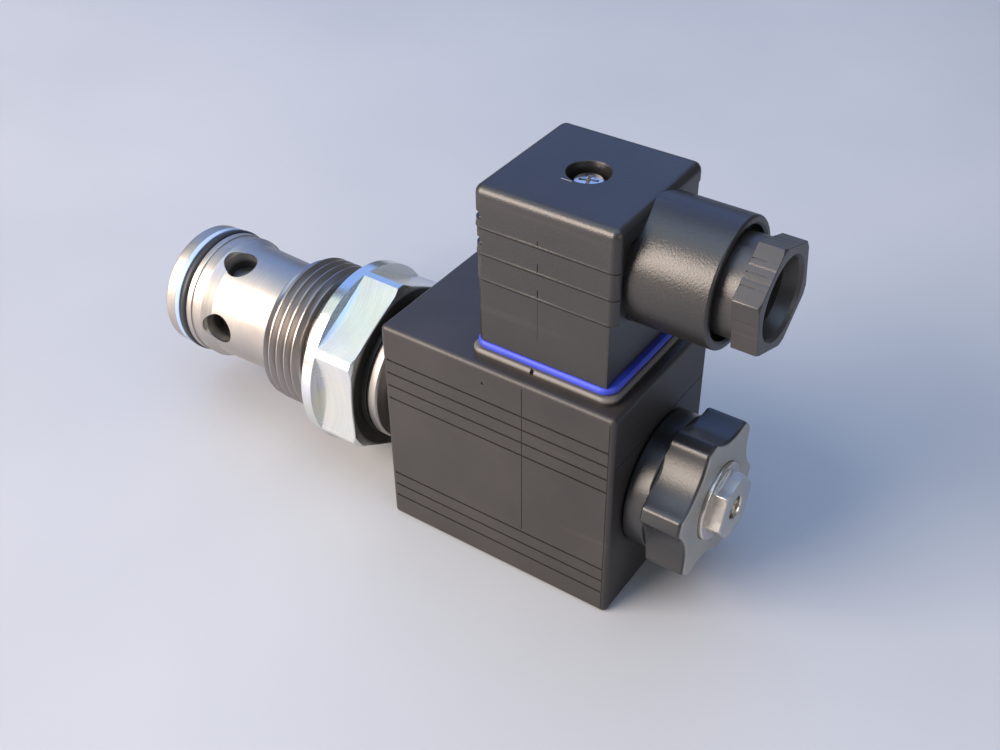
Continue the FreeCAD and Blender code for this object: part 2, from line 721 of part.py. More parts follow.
def make_end_plug():
    """Plug in the tube's end, with its hexagon, pin bore and O-ring grooves."""
    pin_hole = S.pin_radius + S.pin_play
    face = S.tube_end + S.washer_width + S.plug_hex_length
    recess = face - S.plug_recess_depth
    body = turned("end_plug", [
        (S.plug_start, pin_hole),
        (S.plug_start, S.tube_bore),
        (S.plug_seal_station, S.tube_bore),
        (S.plug_seal_station, S.plug_seal_floor),
        (S.plug_seal_station + S.plug_seal_width, S.plug_seal_floor),
        (S.plug_seal_station + S.plug_seal_width, S.tube_bore),
        (S.tube_end, S.tube_bore),
        (S.tube_end, S.plug_neck_radius),
        (face, S.plug_neck_radius),
        (face, S.plug_recess_radius),
        (recess, S.plug_recess_radius),
        (recess, pin_hole),
        (S.pin_seal_station + S.pin_seal_width, pin_hole),
        (S.pin_seal_station + S.pin_seal_width, S.pin_seal_radius),
        (S.pin_seal_station, S.pin_seal_radius),
        (S.pin_seal_station, pin_hole),
    ])
    hex_start = face - S.plug_hex_length
    hex_bar(body, S.plug_flats, hex_start, face, "plug_hexagon")
    revolve(body, rectangle(hex_start, 0, face + S.pin_sink, S.plug_recess_radius), "recess", cut=True)
    turn_about_axis(body, S.plug_phase)
    ring("end_washer", S.tube_end, hex_start, S.plug_neck_radius, S.washer_radius)
    ring("plug_oring", S.plug_seal_station + S.seal_gap, S.plug_seal_station + S.plug_seal_width - S.seal_gap,
         S.plug_seal_floor, S.tube_bore)
    seal_end = S.pin_seal_station + S.pin_seal_width
    ring("override_oring", S.pin_seal_station + S.seal_gap, seal_end - S.seal_gap, pin_hole, S.pin_seal_radius)
    ring("override_pin", S.armature_end, face - S.pin_sink, 0, S.pin_radius)


# ---------------------------------------------------------------- coil

coil_end = S.coil_start + S.coil_length
pad_top = S.coil_above + S.pad_height
tube_clear = S.tube_radius + S.coil_bore_play
BLADES = (("x", 1, "blade_front"), ("x", -1, "blade_back"), ("y", -1, "blade_earth"))


def blade_block(label, direction, side, play, bottom, top):
    """A contact blade, or with play the slot that it enters."""
    thick = S.blade_thickness / 2 + play
    wide = S.blade_width / 2 + play
    offset = S.blade_offset * side
    if direction == "x":
        centre = S.plug_centre + offset
        return block(label, (centre - thick, -wide, bottom), (centre + thick, wide, top))
    low = (S.plug_centre - wide, offset - thick, bottom)
    high = (S.plug_centre + wide, offset + thick, top)
    return block(label, low, high)


def square_sketch(body, name, side, height):
    """A square round the connector's axis, on a level above the cartridge axis."""
    sketch = sketch_on(body, "XY_Plane", name, height)
    half = side / 2
    add_polygon(sketch, rectangle(S.plug_centre - half, -half, S.plug_centre + half, half))
    return sketch


def upright_corners(centre_x, side):
    """A test for the four upright edges of a square round the connector's axis."""
    upright = runs_along(FreeCAD.Vector(0, 0, 1))

    def test(edge):
        if not upright(edge):
            return False
        point = edge.CenterOfMass
        half = side.value / 2
        return abs(abs(point.x - centre_x.value) - half) < TOLERANCE and abs(abs(point.y) - half) < TOLERANCE
    return test


def make_coil_housing():
    """Moulded coil body: rounded block, connector pad, bore, sealed cavity and fine side grooves."""
    body = new_body("coil_housing")
    half = S.coil_width / 2
    sketch = sketch_on(body, "YZ_Plane", "block_outline", S.coil_start)
    add_polygon(sketch, rectangle(-half, -S.coil_below, half, S.coil_above))
    solid = pad(body, sketch, S.coil_length, "block")
    fillet(body, solid, S.coil_corner, "long_edges", runs_along(FreeCAD.Vector(1, 0, 0)))
    foot = S.coil_above - S.pad_height
    outline = square_sketch(body, "pad_outline", S.pad_side, foot)
    raised = pad(body, outline, S.pad_height * 2, "connector_pad")
    fillet(body, raised, S.pad_corner, "pad_corners", upright_corners(S.plug_centre, S.pad_side))
    cavity_front = S.coil_start + S.end_wall
    cavity_back = coil_end - S.end_wall
    revolve(body, [
        (S.coil_start, 0),
        (S.coil_start, S.end_bore_radius),
        (cavity_front, S.end_bore_radius),
        (cavity_front, S.flux_radius),
        (cavity_back, S.flux_radius),
        (cavity_back, S.end_bore_radius),
        (coil_end, S.end_bore_radius),
        (coil_end, 0),
    ], "bore_and_cavity", cut=True)
    for side, plane_offset in (("near", -half), ("far", half - S.rib_depth)):
        for name, level, count in (("upper", S.upper_rib, S.upper_rib_count),
                                   ("lower", -S.lower_rib, S.lower_rib_count)):
            # The XZ plane's normal points to -Y, so an offset along it is minus the wanted Y.
            sketch = sketch_on(body, "XZ_Plane", f"{side}_{name}_outline", -plane_offset - S.rib_depth)
            left = S.coil_start + S.rib_margin
            right = coil_end - S.rib_margin
            for number in range(int(count.value)):
                low = level + S.rib_pitch * number
                add_polygon(sketch, rectangle(left, low, right, low + S.rib_groove))
            pocket(body, sketch, f"{side}_{name}_grooves", S.rib_depth)
    sketch = sketch_on(body, "XY_Plane", "bush_hole_outline", S.bush_bottom)
    add_circle(sketch, S.plug_centre, 0, S.bush_radius)
    pocket(body, sketch, "bush_hole", pad_top - S.bush_bottom)
    sketch = sketch_on(body, "XY_Plane", "blade_slots_outline", S.blade_bottom)
    thick = S.blade_thickness / 2
    wide = S.blade_width / 2
    for direction, side, _ in BLADES:
        offset = S.blade_offset * side
        if direction == "x":
            corners = rectangle(S.plug_centre + offset - thick, -wide, S.plug_centre + offset + thick, wide)
        else:
            corners = rectangle(S.plug_centre - wide, offset - thick, S.plug_centre + wide, offset + thick)
        add_polygon(sketch, corners)
    pocket(body, sketch, "blade_slots", pad_top - S.blade_bottom)


def make_coil_inside():
    """Flux plates and tube, bobbin, winding and the bore's O-rings."""
    front = S.coil_start + S.end_wall
    back = coil_end - S.end_wall
    inner = S.flux_radius - S.flux_wall
    ring("flux_tube", front, back, inner, S.flux_radius)
    ring("front_plate", front, front + S.plate_width, tube_clear, inner)
    ring("rear_plate", back - S.plate_width, back, tube_clear, inner)
    left = front + S.plate_width
    right = back - S.plate_width
    turned("bobbin", [
        (left, tube_clear),
        (left, inner),
        (left + S.bobbin_flange, inner),
        (left + S.bobbin_flange, S.bobbin_radius),
        (right - S.bobbin_flange, S.bobbin_radius),
        (right - S.bobbin_flange, inner),
        (right, inner),
        (right, tube_clear),
    ])
    ring("winding", left + S.bobbin_flange, right - S.bobbin_flange, S.bobbin_radius, S.winding_radius)
    oring("coil_front_oring", front - S.end_wall / 2, S.coil_seal_mean, S.coil_seal_section)
    oring("coil_rear_oring", back + S.end_wall / 2, S.coil_seal_mean, S.coil_seal_section)


def make_contacts():
    """Contact blades, earth blade and the centre screw's brass bush."""
    blades = []
    for direction, side, name in BLADES:
        blades.append(blade_block(name, direction, side, 0, S.blade_bottom, S.blade_top))
    group_of("terminal_blades", blades[:2])
    group_of("earth_blade", blades[2:])
    body = ring("centre_bush", S.bush_bottom, pad_top, S.screw_radius + S.screw_play, S.bush_radius)
    set_upright(body, S.plug_centre)


# ---------------------------------------------------------------- connector

housing_foot = pad_top + S.gasket_height
clamp_top = S.carrier_top + S.clamp_height
screw_seat = S.plug_top - S.screw_recess_depth


def make_connector_housing():
    """Plug housing: open below, with a screw recess on top and a threaded cable boss."""
    body = new_body("connector_housing")
    outline = square_sketch(body, "housing_outline", S.plug_side, housing_foot)
    solid = pad(body, outline, S.plug_top - housing_foot, "housing")
    fillet(body, solid, S.plug_corner, "upright_corners", upright_corners(S.plug_centre, S.plug_side))
    inner = S.plug_side - S.plug_wall * 2
    outline = square_sketch(body, "cavity_outline", inner, housing_foot)
    roof = S.plug_top - S.roof_thickness
    pocket(body, outline, "cavity", roof - housing_foot)
    sketch = sketch_on(body, "XY_Plane", "pillar_outline", roof - S.pillar_length)
    add_circle(sketch, S.plug_centre, 0, S.pillar_radius)
    pad(body, sketch, S.pillar_length, "pillar")
    sketch = sketch_on(body, "YZ_Plane", "boss_outline", S.plug_centre + inner / 2)
    add_circle(sketch, 0, S.gland_height, S.boss_radius)
    pad(body, sketch, S.boss_end - S.plug_centre - inner / 2, "cable_boss")
    for name, radius, start, end in (
            ("gland_bore", S.gland_thread_radius + S.gland_play, S.plug_centre + inner / 2, S.boss_end),
            ("boss_recess", S.boss_recess_radius, S.boss_end - S.boss_recess_depth, S.boss_end)):
        sketch = sketch_on(body, "YZ_Plane", f"{name}_outline", start)
        add_circle(sketch, 0, S.gland_height, radius)
        pocket(body, sketch, name, end - start)
    for name, radius, bottom in (("screw_hole", S.screw_hole_radius, roof - S.pillar_length),
                                 ("screw_recess", S.screw_recess_radius, screw_seat)):
        sketch = sketch_on(body, "XY_Plane", f"{name}_outline", bottom)
        add_circle(sketch, S.plug_centre, 0, radius)
        pocket(body, sketch, name, S.plug_top - bottom)


def make_gasket():
    """Square profile gasket between the coil's pad and the plug housing."""
    body = new_body("connector_gasket")
    outline = square_sketch(body, "gasket_outline", S.gasket_side, pad_top)
    solid = pad(body, outline, S.gasket_height, "gasket")
    fillet(body, solid, S.gasket_corner, "gasket_corners", upright_corners(S.plug_centre, S.gasket_side))
    outline = square_sketch(body, "window_outline", S.gasket_window, pad_top)
    pocket(body, outline, "window", S.gasket_height)


def make_carrier_and_clamps():
    """Insulating insert with blade slots, brass clamps on it and their screws."""
    half = S.carrier_side / 2
    insert = block("insert_block", (S.plug_centre - half, -half, S.carrier_bottom),
                   (S.plug_centre + half, half, S.carrier_top))
    slot_top = S.carrier_top - S.blade_play
    slots = []
    for direction, side, name in BLADES:
        slots.append(blade_block(f"{name}_slot", direction, side, S.blade_play, S.carrier_bottom, slot_top))
    hole = rod("insert_hole", (S.plug_centre, 0), S.carrier_bottom, S.carrier_top, S.screw_hole_radius)
    group_of("terminal_carrier", [insert], slots + [hole])
    clamps = []
    holes = []
    screws = []
    for direction, side, name in BLADES:
        along = S.blade_offset * side
        centre = (S.plug_centre + along, 0) if direction == "x" else (S.plug_centre, along)
        reach = (S.clamp_length / 2, S.clamp_width / 2)
        if direction == "y":
            reach = reach[::-1]
        clamps.append(block(f"{name}_clamp",
                            (centre[0] - reach[0], centre[1] - reach[1], S.carrier_top),
                            (centre[0] + reach[0], centre[1] + reach[1], clamp_top)))
        holes.append(rod(f"{name}_screw_hole", centre, S.carrier_top, clamp_top, S.clamp_screw_radius))
        shank = rod(f"{name}_shank", centre, S.carrier_top, clamp_top, S.clamp_screw_radius)
        head = rod(f"{name}_head", centre, clamp_top, clamp_top + S.clamp_head_height, S.clamp_head_radius)
        screw = doc.addObject("Part::MultiFuse", f"{name}_screw")
        screw.Shapes = [shank, head]
        screws.append(screw)
    group_of("contact_clamps", clamps, holes)
    group_of("clamp_screws", screws)


def make_centre_screw():
    """M3 screw with a slotted cheese head and the seal under its head."""
    under_head = screw_seat + S.screw_seal_height
    top = under_head + S.screw_head_height
    body = turned("centre_screw", [
        (S.screw_foot, 0),
        (S.screw_foot, S.screw_radius),
        (under_head, S.screw_radius),
        (under_head, S.screw_head_radius),
        (top, S.screw_head_radius),
        (top, 0),
    ])
    half_slot = S.screw_slot_width / 2
    half_length = S.screw_slot_length / 2
    for name, across, along in (("slot_one", half_slot, half_length), ("slot_two", half_length, half_slot)):
        sketch = sketch_on(body, "YZ_Plane", f"{name}_outline", top - S.screw_slot_depth)
        add_polygon(sketch, rectangle(-across, -along, across, along))
        pocket(body, sketch, name, S.screw_slot_depth)
    set_upright(body, S.plug_centre)
    seal = ring("screw_oring", screw_seat, under_head, S.screw_hole_radius, S.screw_head_radius)
    set_upright(seal, S.plug_centre)


def make_gland():
    """Rubber grommet, pressure washer and gland nut on the cable axis."""
    bore = S.gland_thread_radius + S.gland_play
    grommet = ring("gland_grommet", S.grommet_start, S.grommet_end, S.grommet_bore, bore)
    washer_end = S.grommet_end + S.gland_washer_width
    washer = ring("gland_washer", S.grommet_end, washer_end, S.gland_washer_bore, S.gland_washer_radius)
    nut = turned("gland_nut", [
        (washer_end, S.nut_bore),
        (washer_end, S.gland_thread_radius),
        (S.nut_collar_start, S.gland_thread_radius),
        (S.nut_collar_start, S.nut_collar_radius),
        (S.nut_hex_start, S.nut_collar_radius),
        (S.nut_hex_start, S.nut_bore),
    ])
    hex_bar(nut, S.nut_flats, S.nut_hex_start, S.nut_end, "nut_hexagon")
    revolve(nut, rectangle(S.nut_hex_start, 0, S.nut_end, S.nut_bore), "nut_bore_cut", cut=True)
    nut.Placement = FreeCAD.Placement(FreeCAD.Vector(), FreeCAD.Rotation(FreeCAD.Vector(1, 0, 0), 0))
    nut.setExpression("Placement.Rotation.Angle", S.nut_phase.formula)
    for body in (grommet, washer, nut):
        lift_to_gland(body)


# ---------------------------------------------------------------- coil nut

def make_coil_nut():
    """Lobed knob with its moulded-in threaded bush and its O-ring."""
    start = coil_end + S.knob_gap
    bush_end = S.tube_end - S.knob_lip
    clear = S.tube_radius + S.bush_play
    body = new_body("coil_nut")
    sketch = sketch_on(body, "YZ_Plane", "lobe_outline", S.lobe_start)
    add_circle(sketch, 0, 0, S.lobe_radius)
    pad(body, sketch, S.tube_end - S.lobe_start, "grip")
    sketch = sketch_on(body, "YZ_Plane", "scallop_outline", S.lobe_start)
    half_step = math.pi / S.lobe_count.value
    add_circle(sketch, S.scallop_centre * math.cos(half_step), S.scallop_centre * math.sin(half_step),
               S.scallop_radius)
    scallop = pocket(body, sketch, "scallop", S.tube_end - S.lobe_start)
    repeat_round(body, scallop, S.lobe_count, "scallops")
    revolve(body, rectangle(start, 0, S.lobe_start, S.knob_boss_radius), "foot")
    revolve(body, [
        (start, 0),
        (start, S.bush_wall_radius),
        (bush_end, S.bush_wall_radius),
        (bush_end, clear),
        (S.tube_end, clear),
        (S.tube_end, 0),
    ], "bush_seat", cut=True)
    groove = S.knob_seal_section + S.seal_gap
    low = S.knob_seal_mean - groove
    high = S.knob_seal_mean + groove
    revolve(body, rectangle(start, low, start + S.knob_seal_depth, high), "seal_groove", cut=True)
    turn_about_axis(body, S.lobe_phase)
    ring("nut_bush", S.bush_start, bush_end, clear, S.bush_wall_radius)
    oring("nut_oring", coil_end + S.knob_seal_section, S.knob_seal_mean, S.knob_seal_section)


# ---------------------------------------------------------------- build, check, write

def check_document():
    """Stop if any object failed or any sub-part has no valid solid."""
    for item in doc.Objects:
        if "Invalid" in item.State or "Error" in item.State:
            raise RuntimeError(f"{item.Label} failed: {item.State}")
    for piece in pieces:
        shape = piece.Shape
        if shape.isNull() or not shape.isValid() or not shape.Solids:
            raise RuntimeError(f"{piece.Label} has no valid solid")


def write_steps():
    """Write each sub-part to its own STEP file."""
    os.makedirs("parts", exist_ok=True)
    for piece in pieces:
        piece.Shape.exportStep(os.path.join("parts", f"{piece.Label}.step"))
        print(f"{piece.Label}: {len(piece.Shape.Solids)} solid(s), {piece.Shape.Volume:.1f} mm3")


MAKERS = (
    make_valve_sleeve, make_nose_seals, make_nose_seat, make_main_spool, make_return_spring, make_hex_adapter,
    make_back_rings, make_tube_and_cores, make_end_plug, make_coil_housing, make_coil_inside, make_contacts,
    make_connector_housing, make_gasket, make_carrier_and_clamps, make_centre_screw, make_gland, make_coil_nut,
)

for maker in MAKERS:
    maker()

# The body O-ring lies against the relief in the seat face, in the undercut.
oring("body_oring", S.face_relief_depth - S.body_seal_section, S.body_seal_mean, S.body_seal_section)
doc.recompute()
check_document()
write_steps()
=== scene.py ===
import json
import math

import bmesh
import bpy
from mathutils import Matrix, Vector


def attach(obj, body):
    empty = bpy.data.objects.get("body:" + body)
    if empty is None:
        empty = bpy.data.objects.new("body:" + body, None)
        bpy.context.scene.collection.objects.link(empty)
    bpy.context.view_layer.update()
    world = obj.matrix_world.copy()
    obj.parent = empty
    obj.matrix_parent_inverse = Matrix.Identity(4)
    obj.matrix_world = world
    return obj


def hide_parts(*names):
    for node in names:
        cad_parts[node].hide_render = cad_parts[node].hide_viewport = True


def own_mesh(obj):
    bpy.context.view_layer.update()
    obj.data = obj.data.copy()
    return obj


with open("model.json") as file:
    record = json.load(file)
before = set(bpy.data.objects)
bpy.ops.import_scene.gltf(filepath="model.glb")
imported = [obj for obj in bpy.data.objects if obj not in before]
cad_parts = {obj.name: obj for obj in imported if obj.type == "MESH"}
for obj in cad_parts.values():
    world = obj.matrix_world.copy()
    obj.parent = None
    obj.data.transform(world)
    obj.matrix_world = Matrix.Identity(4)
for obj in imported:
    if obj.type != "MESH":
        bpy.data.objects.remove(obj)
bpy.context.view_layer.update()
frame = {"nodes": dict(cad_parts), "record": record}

MM = 0.001
TURN = 2 * math.pi

# ---------------------------------------------------------------- main sizes, in millimetres

# Stations along the valve's axis X, counted from the collar's seat face.
NOSE_END = -45.9
THREAD_FRONT, THREAD_BACK = -15.3, -3.8
COLLAR_END, HEX_END, BODY_END = 2.9, 12.3, 13.3
RING_FRONT, RING_BACK = 13.9, 16.0
COIL_FRONT, COIL_BACK = 21.4, 73.5
KNOB_FACE, PLUG_END, NUT_FACE = 86.7, 90.5, 93.6
# The coil's section, the plug's upright axis and the height of the cable's axis.
COIL_HALF, COIL_FOOT, COIL_TOP = 17.85, -23.6, 25.5
PLUG_X, GLAND_Z = 56, 48.9
PAD_TOP, GASKET_TOP, PLUG_TOP = 27.1, 28.7, 60.9
# Radii that two pieces share.
NOSE_BORE, SOCKET, TUBE, TUBE_BORE = 9.0, 11.0, 9.5, 8.2

# ---------------------------------------------------------------- materials


class Tree:
    """A material's node tree, built with one call per node."""

    def __init__(self, name):
        self.material = bpy.data.materials.new(name)
        self.material.use_nodes = True
        self.nodes = self.material.node_tree.nodes
        self.links = self.material.node_tree.links
        self.nodes.clear()
        self.place = self.add("ShaderNodeTexCoord").outputs["Object"]

    def add(self, kind, settings=None, **sockets):
        node = self.nodes.new(kind)
        for key, value in (settings or {}).items():
            setattr(node, key, value)
        for key, value in sockets.items():
            socket = node.inputs[int(key[1:])] if key[1:].isdigit() else node.inputs[key.replace("_", " ")]
            if isinstance(value, bpy.types.NodeSocket):
                self.links.new(value, socket)
            else:
                socket.default_value = value
        return node

    def noise(self, scale, detail=3.0, stretch=None, place=None):
        place = self.place if place is None else place
        if stretch:
            place = self.add("ShaderNodeMapping", Vector=place, Scale=stretch).outputs[0]
        return self.add("ShaderNodeTexNoise", Vector=place, Scale=scale, Detail=detail).outputs["Fac"]

    def between(self, value, low, high, from_low=0.3, from_high=0.7):
        return self.add("ShaderNodeMapRange", Value=value, From_Min=from_low, From_Max=from_high,
                        To_Min=low, To_Max=high).outputs[0]

    def math(self, operation, a, b=0.0):
        return self.add("ShaderNodeMath", {"operation": operation}, i0=a, i1=b).outputs[0]

    def mix(self, factor, a, b):
        node = self.add("ShaderNodeMix", {"data_type": "RGBA"}, Factor=factor)
        for socket, value in ((node.inputs[6], a), (node.inputs[7], b)):
            if isinstance(value, bpy.types.NodeSocket):
                self.links.new(value, socket)
            else:
                socket.default_value = (*value, 1.0)
        return node.outputs[2]

    def bump(self, height, distance, strength=1.0, normal=None):
        node = self.add("ShaderNodeBump", Height=height, Distance=distance, Strength=strength)
        if normal is not None:
            self.links.new(normal, node.inputs["Normal"])
        return node.outputs[0]

    def window(self, value, low, high, soft):
        """1 where the value lies between two limits in millimetres, with a soft edge."""
        rise = self.between(value, 0.0, 1.0, (low - soft) * MM, low * MM)
        fall = self.between(value, 1.0, 0.0, high * MM, (high + soft) * MM)
        return self.math("MULTIPLY", rise, fall)

    def finish(self, color, roughness, normal, metallic=0.0, **more):
        shader = self.add("ShaderNodeBsdfPrincipled", Base_Color=color, Roughness=roughness,
                          Metallic=metallic, Normal=normal, **more)
        output = self.add("ShaderNodeOutputMaterial")
        self.links.new(shader.outputs[0], output.inputs[0])
        return self.material


def plastic(name, color, light, roughness, grain, depth, gloss=0.5, pale_wear_and_painted_light=()):
    """Moulded plastic: fine grain, cloudy sheen, faint rubbed patches and a few hair scratches.

    The list of paler places gives each as (limits along axes in millimetres, soft edge, colour); some are wear,
    others painted highlights and painted light on faces that catch the lamps.
    """
    t = Tree(name)
    place = t.add("ShaderNodeSeparateXYZ", Vector=t.place).outputs
    cloud = t.noise(55, 4)
    rub = t.noise(18, 5)
    scratch = t.noise(260, 2, stretch=(0.05, 1.4, 1.0))
    line = t.between(scratch, 0.0, 1.0, 0.70, 0.76)
    tone = t.mix(t.between(cloud, 0.0, 1.0), color, light)
    tone = t.mix(t.math("MULTIPLY", line, 0.35), tone, tuple(min(1.0, c * 2.2) for c in light))
    # Paler places: wear, and painted highlights and painted light where a face catches the lamps.
    for limits, soft, pale in pale_wear_and_painted_light:
        mask = t.between(cloud, 0.75, 1.0)
        for axis, low, high in limits:
            mask = t.math("MULTIPLY", mask, t.window(place[axis], low, high, soft))
        tone = t.mix(mask, tone, pale)
    rough = t.math("ADD", t.between(rub, roughness - 0.05, roughness + 0.07), t.math("MULTIPLY", line, 0.08))
    normal = t.bump(t.noise(grain, 2), depth)
    normal = t.bump(cloud, 0.00006, 0.5, normal)
    return t.finish(tone, rough, normal, Specular_IOR_Level=gloss)


def metal(name, color, tint, roughness, rings, depth, dark=None, bore=None, bloom=None):
    """Turned or plated metal: fine tool rings round the axis, cloudy tone, handling scratches.

    dark is (station in metres, colour): in front of that station the metal takes that darker colour and is
    rougher. bore is (inner radius, outer radius, station) in millimetres, a painted shade: behind the station
    the metal darkens from the outer radius to the inner, standing in for the shade inside bores and ports.
    bloom is two colours of the plating's sheen.
    """
    t = Tree(name)
    parts = t.add("ShaderNodeSeparateXYZ", Vector=t.place).outputs
    square = t.math("ADD", t.math("MULTIPLY", parts[1], parts[1]), t.math("MULTIPLY", parts[2], parts[2]))
    radius = t.math("SQRT", square)
    along = t.math("ADD", parts[0], radius)
    spun_place = t.add("ShaderNodeCombineXYZ", X=along, Y=t.math("MULTIPLY", parts[1], 0.02),
                       Z=t.math("MULTIPLY", parts[2], 0.02)).outputs[0]
    ring = t.noise(rings, 3, place=spun_place)
    cloud = t.noise(70, 5)
    scratch = t.noise(420, 2, stretch=(0.08, 1.0, 1.3))
    line = t.between(scratch, 0.0, 1.0, 0.68, 0.74)
    tone = t.mix(t.between(cloud, 0.0, 1.0), color, tint)
    if bloom:
        tone = t.mix(t.between(t.noise(48, 2), 0.0, 0.8, 0.42, 0.62), tone, bloom[0])
        tone = t.mix(t.between(t.noise(90, 3), 0.0, 0.7, 0.45, 0.65), tone, bloom[1])
    tone = t.mix(t.between(ring, 0.0, 0.35), tone, tuple(c * 0.7 for c in color))
    rough = t.math("ADD", t.between(cloud, roughness - 0.05, roughness + 0.08),
                   t.math("MULTIPLY", line, 0.12))
    if dark:
        edge, shade = dark
        mask = t.add("ShaderNodeMapRange", Value=t.math("ADD", parts[0], t.math("MULTIPLY", cloud, 0.002)),
                     From_Min=edge, From_Max=edge + 0.001, To_Min=1.0, To_Max=0.0).outputs[0]
        tone = t.mix(mask, tone, shade)
        rough = t.math("ADD", rough, t.math("MULTIPLY", mask, 0.10))
    # Painted shade: inside the given radius and behind the station, the metal is painted dark and rougher.
    if bore:
        deep = t.math("MULTIPLY", t.between(radius, 1.0, 0.0, bore[0] * MM, bore[1] * MM),
                      t.window(parts[0], bore[2], 200, 0.05))
        tone = t.mix(deep, tone, (0.07, 0.065, 0.06))
        rough = t.math("ADD", rough, t.math("MULTIPLY", deep, 0.3))
    normal = t.bump(ring, depth)
    normal = t.bump(line, 0.000006, 0.6, normal)
    normal = t.bump(t.noise(420, 4), 0.00003 if bloom else 0.00001, 0.6, normal)
    return t.finish(tone, rough, normal, 1.0)


def rubber(name, color, light, roughness):
    """Soft matt elastomer with a fine bloom."""
    t = Tree(name)
    bloom = t.noise(240, 4)
    tone = t.mix(t.between(bloom, 0.0, 1.0), color, light)
    normal = t.bump(t.noise(2600, 2), 0.00001)
    normal = t.bump(bloom, 0.00003, 0.6, normal)
    return t.finish(tone, t.between(bloom, roughness - 0.06, roughness + 0.08), normal)


# Paler places on the plastics, as their lists of pale places give them: a painted highlight along the pad's
# chamfered edge, a scuff on the plug, and painted light on the knob's end face.
PAINTED_PAD_HIGHLIGHT = (((2, 26.35, 27.4),), 0.12, (0.15, 0.135, 0.12))
SCUFF = (((0, 53.2, 55.2), (1, -4.52, -4.38), (2, 60.5, 61.2)), 0.06, (0.40, 0.38, 0.35))
# Painted light: the knob's end face, which catches the light from the right, is painted paler.
PAINTED_LIT_KNOB_FACE = (((0, KNOB_FACE - 0.15, 88.0),), 0.2, (0.36, 0.35, 0.32))
FINISH = {
    # The steels' bore settings paint shade: in the nose's bore and ports, on parts inside them, and on the
    # hex's rear face beside the coil.
    "turned_steel": metal("turned_steel", (0.47, 0.435, 0.40), (0.54, 0.51, 0.475), 0.42, 3600, 0.000004,
                          bore=(10.6, 12.6, -60)),
    "zinc_steel": metal("zinc_steel", (0.80, 0.82, 0.78), (0.74, 0.80, 0.80), 0.22, 3600, 0.000004,
                        dark=(-0.0022, (0.36, 0.33, 0.31)), bore=(17.6, 18.9, 12.0),
                        bloom=((0.84, 0.78, 0.64), (0.66, 0.70, 0.88))),
    "nickel_steel": metal("nickel_steel", (0.70, 0.64, 0.56), (0.76, 0.71, 0.65), 0.24, 4200, 0.000004),
    "core_steel": metal("core_steel", (0.52, 0.50, 0.48), (0.58, 0.57, 0.56), 0.34, 3000, 0.000006),
    "spring_steel": metal("spring_steel", (0.50, 0.49, 0.48), (0.58, 0.58, 0.58), 0.30, 2500, 0.000004),
    "black_rubber": rubber("black_rubber", (0.014, 0.014, 0.016), (0.028, 0.028, 0.030), 0.46),
    # The PTFE backup ring is white; its bluish colour is painted light from the blue lamps.
    "backup_ptfe": rubber("backup_ptfe", (0.30, 0.42, 0.62), (0.40, 0.52, 0.70), 0.40),
    # The coil plastic carries a painted highlight along the pad's chamfered edge.
    "coil_plastic": plastic("coil_plastic", (0.026, 0.022, 0.021), (0.038, 0.033, 0.031), 0.43, 2300, 0.00003,
                            pale_wear_and_painted_light=(PAINTED_PAD_HIGHLIGHT,)),
    "housing_plastic": plastic("housing_plastic", (0.011, 0.0095, 0.009), (0.017, 0.015, 0.014), 0.37, 2800,
                               0.00004, gloss=0.75, pale_wear_and_painted_light=(SCUFF,)),
    "nut_plastic": plastic("nut_plastic", (0.028, 0.024, 0.022), (0.044, 0.038, 0.035), 0.36, 2800, 0.00003,
                           gloss=0.75),
    # The knob plastic carries painted light on its end face.
    "knob_plastic": plastic("knob_plastic", (0.010, 0.010, 0.011), (0.017, 0.017, 0.018), 0.27, 2600, 0.00002,
                            gloss=0.75, pale_wear_and_painted_light=(PAINTED_LIT_KNOB_FACE,)),
    "blue_rubber": rubber("blue_rubber", (0.030, 0.050, 0.46), (0.05, 0.08, 0.58), 0.55),
    "insulator": plastic("insulator", (0.09, 0.09, 0.09), (0.12, 0.12, 0.12), 0.45, 2500, 0.00001),
    "copper": metal("copper", (0.72, 0.36, 0.20), (0.78, 0.42, 0.26), 0.35, 1800, 0.000008),
    "brass": metal("brass", (0.72, 0.56, 0.28), (0.78, 0.62, 0.34), 0.30, 2600, 0.000004),
    "tinned_brass": metal("tinned_brass", (0.68, 0.67, 0.64), (0.74, 0.73, 0.71), 0.32, 2400, 0.000004),
}

# ---------------------------------------------------------------- mesh tools

FILLET_STEPS = 4


def rounded(points, closed=True):
    """Outline with an arc at each point that has a third value, its radius."""
    result = []
    count = len(points)
    for i, point in enumerate(points):
        p = Vector(point[:2])
        if len(point) < 3 or (not closed and i in (0, count - 1)):
            result.append(tuple(p))
            continue
        to_last = Vector(points[i - 1][:2]) - p
        to_next = Vector(points[(i + 1) % count][:2]) - p
        shorter = min(to_last.length, to_next.length)
        if shorter < 1e-7:
            result += [tuple(p)] * (FILLET_STEPS + 1)
            continue
        half = to_last.angle(to_next) / 2
        reach = min(point[2] / math.tan(half), shorter * 0.48) if half > 1e-4 else 0
        a = p + to_last.normalized() * reach
        b = p + to_next.normalized() * reach
        weight = math.sin(half)
        for k in range(FILLET_STEPS + 1):
            s = k / FILLET_STEPS
            wa, wp, wb = (1 - s) ** 2, 2 * weight * s * (1 - s), s ** 2
            result.append(tuple((a * wa + p * wp + b * wb) / (wa + wp + wb)))
    return result


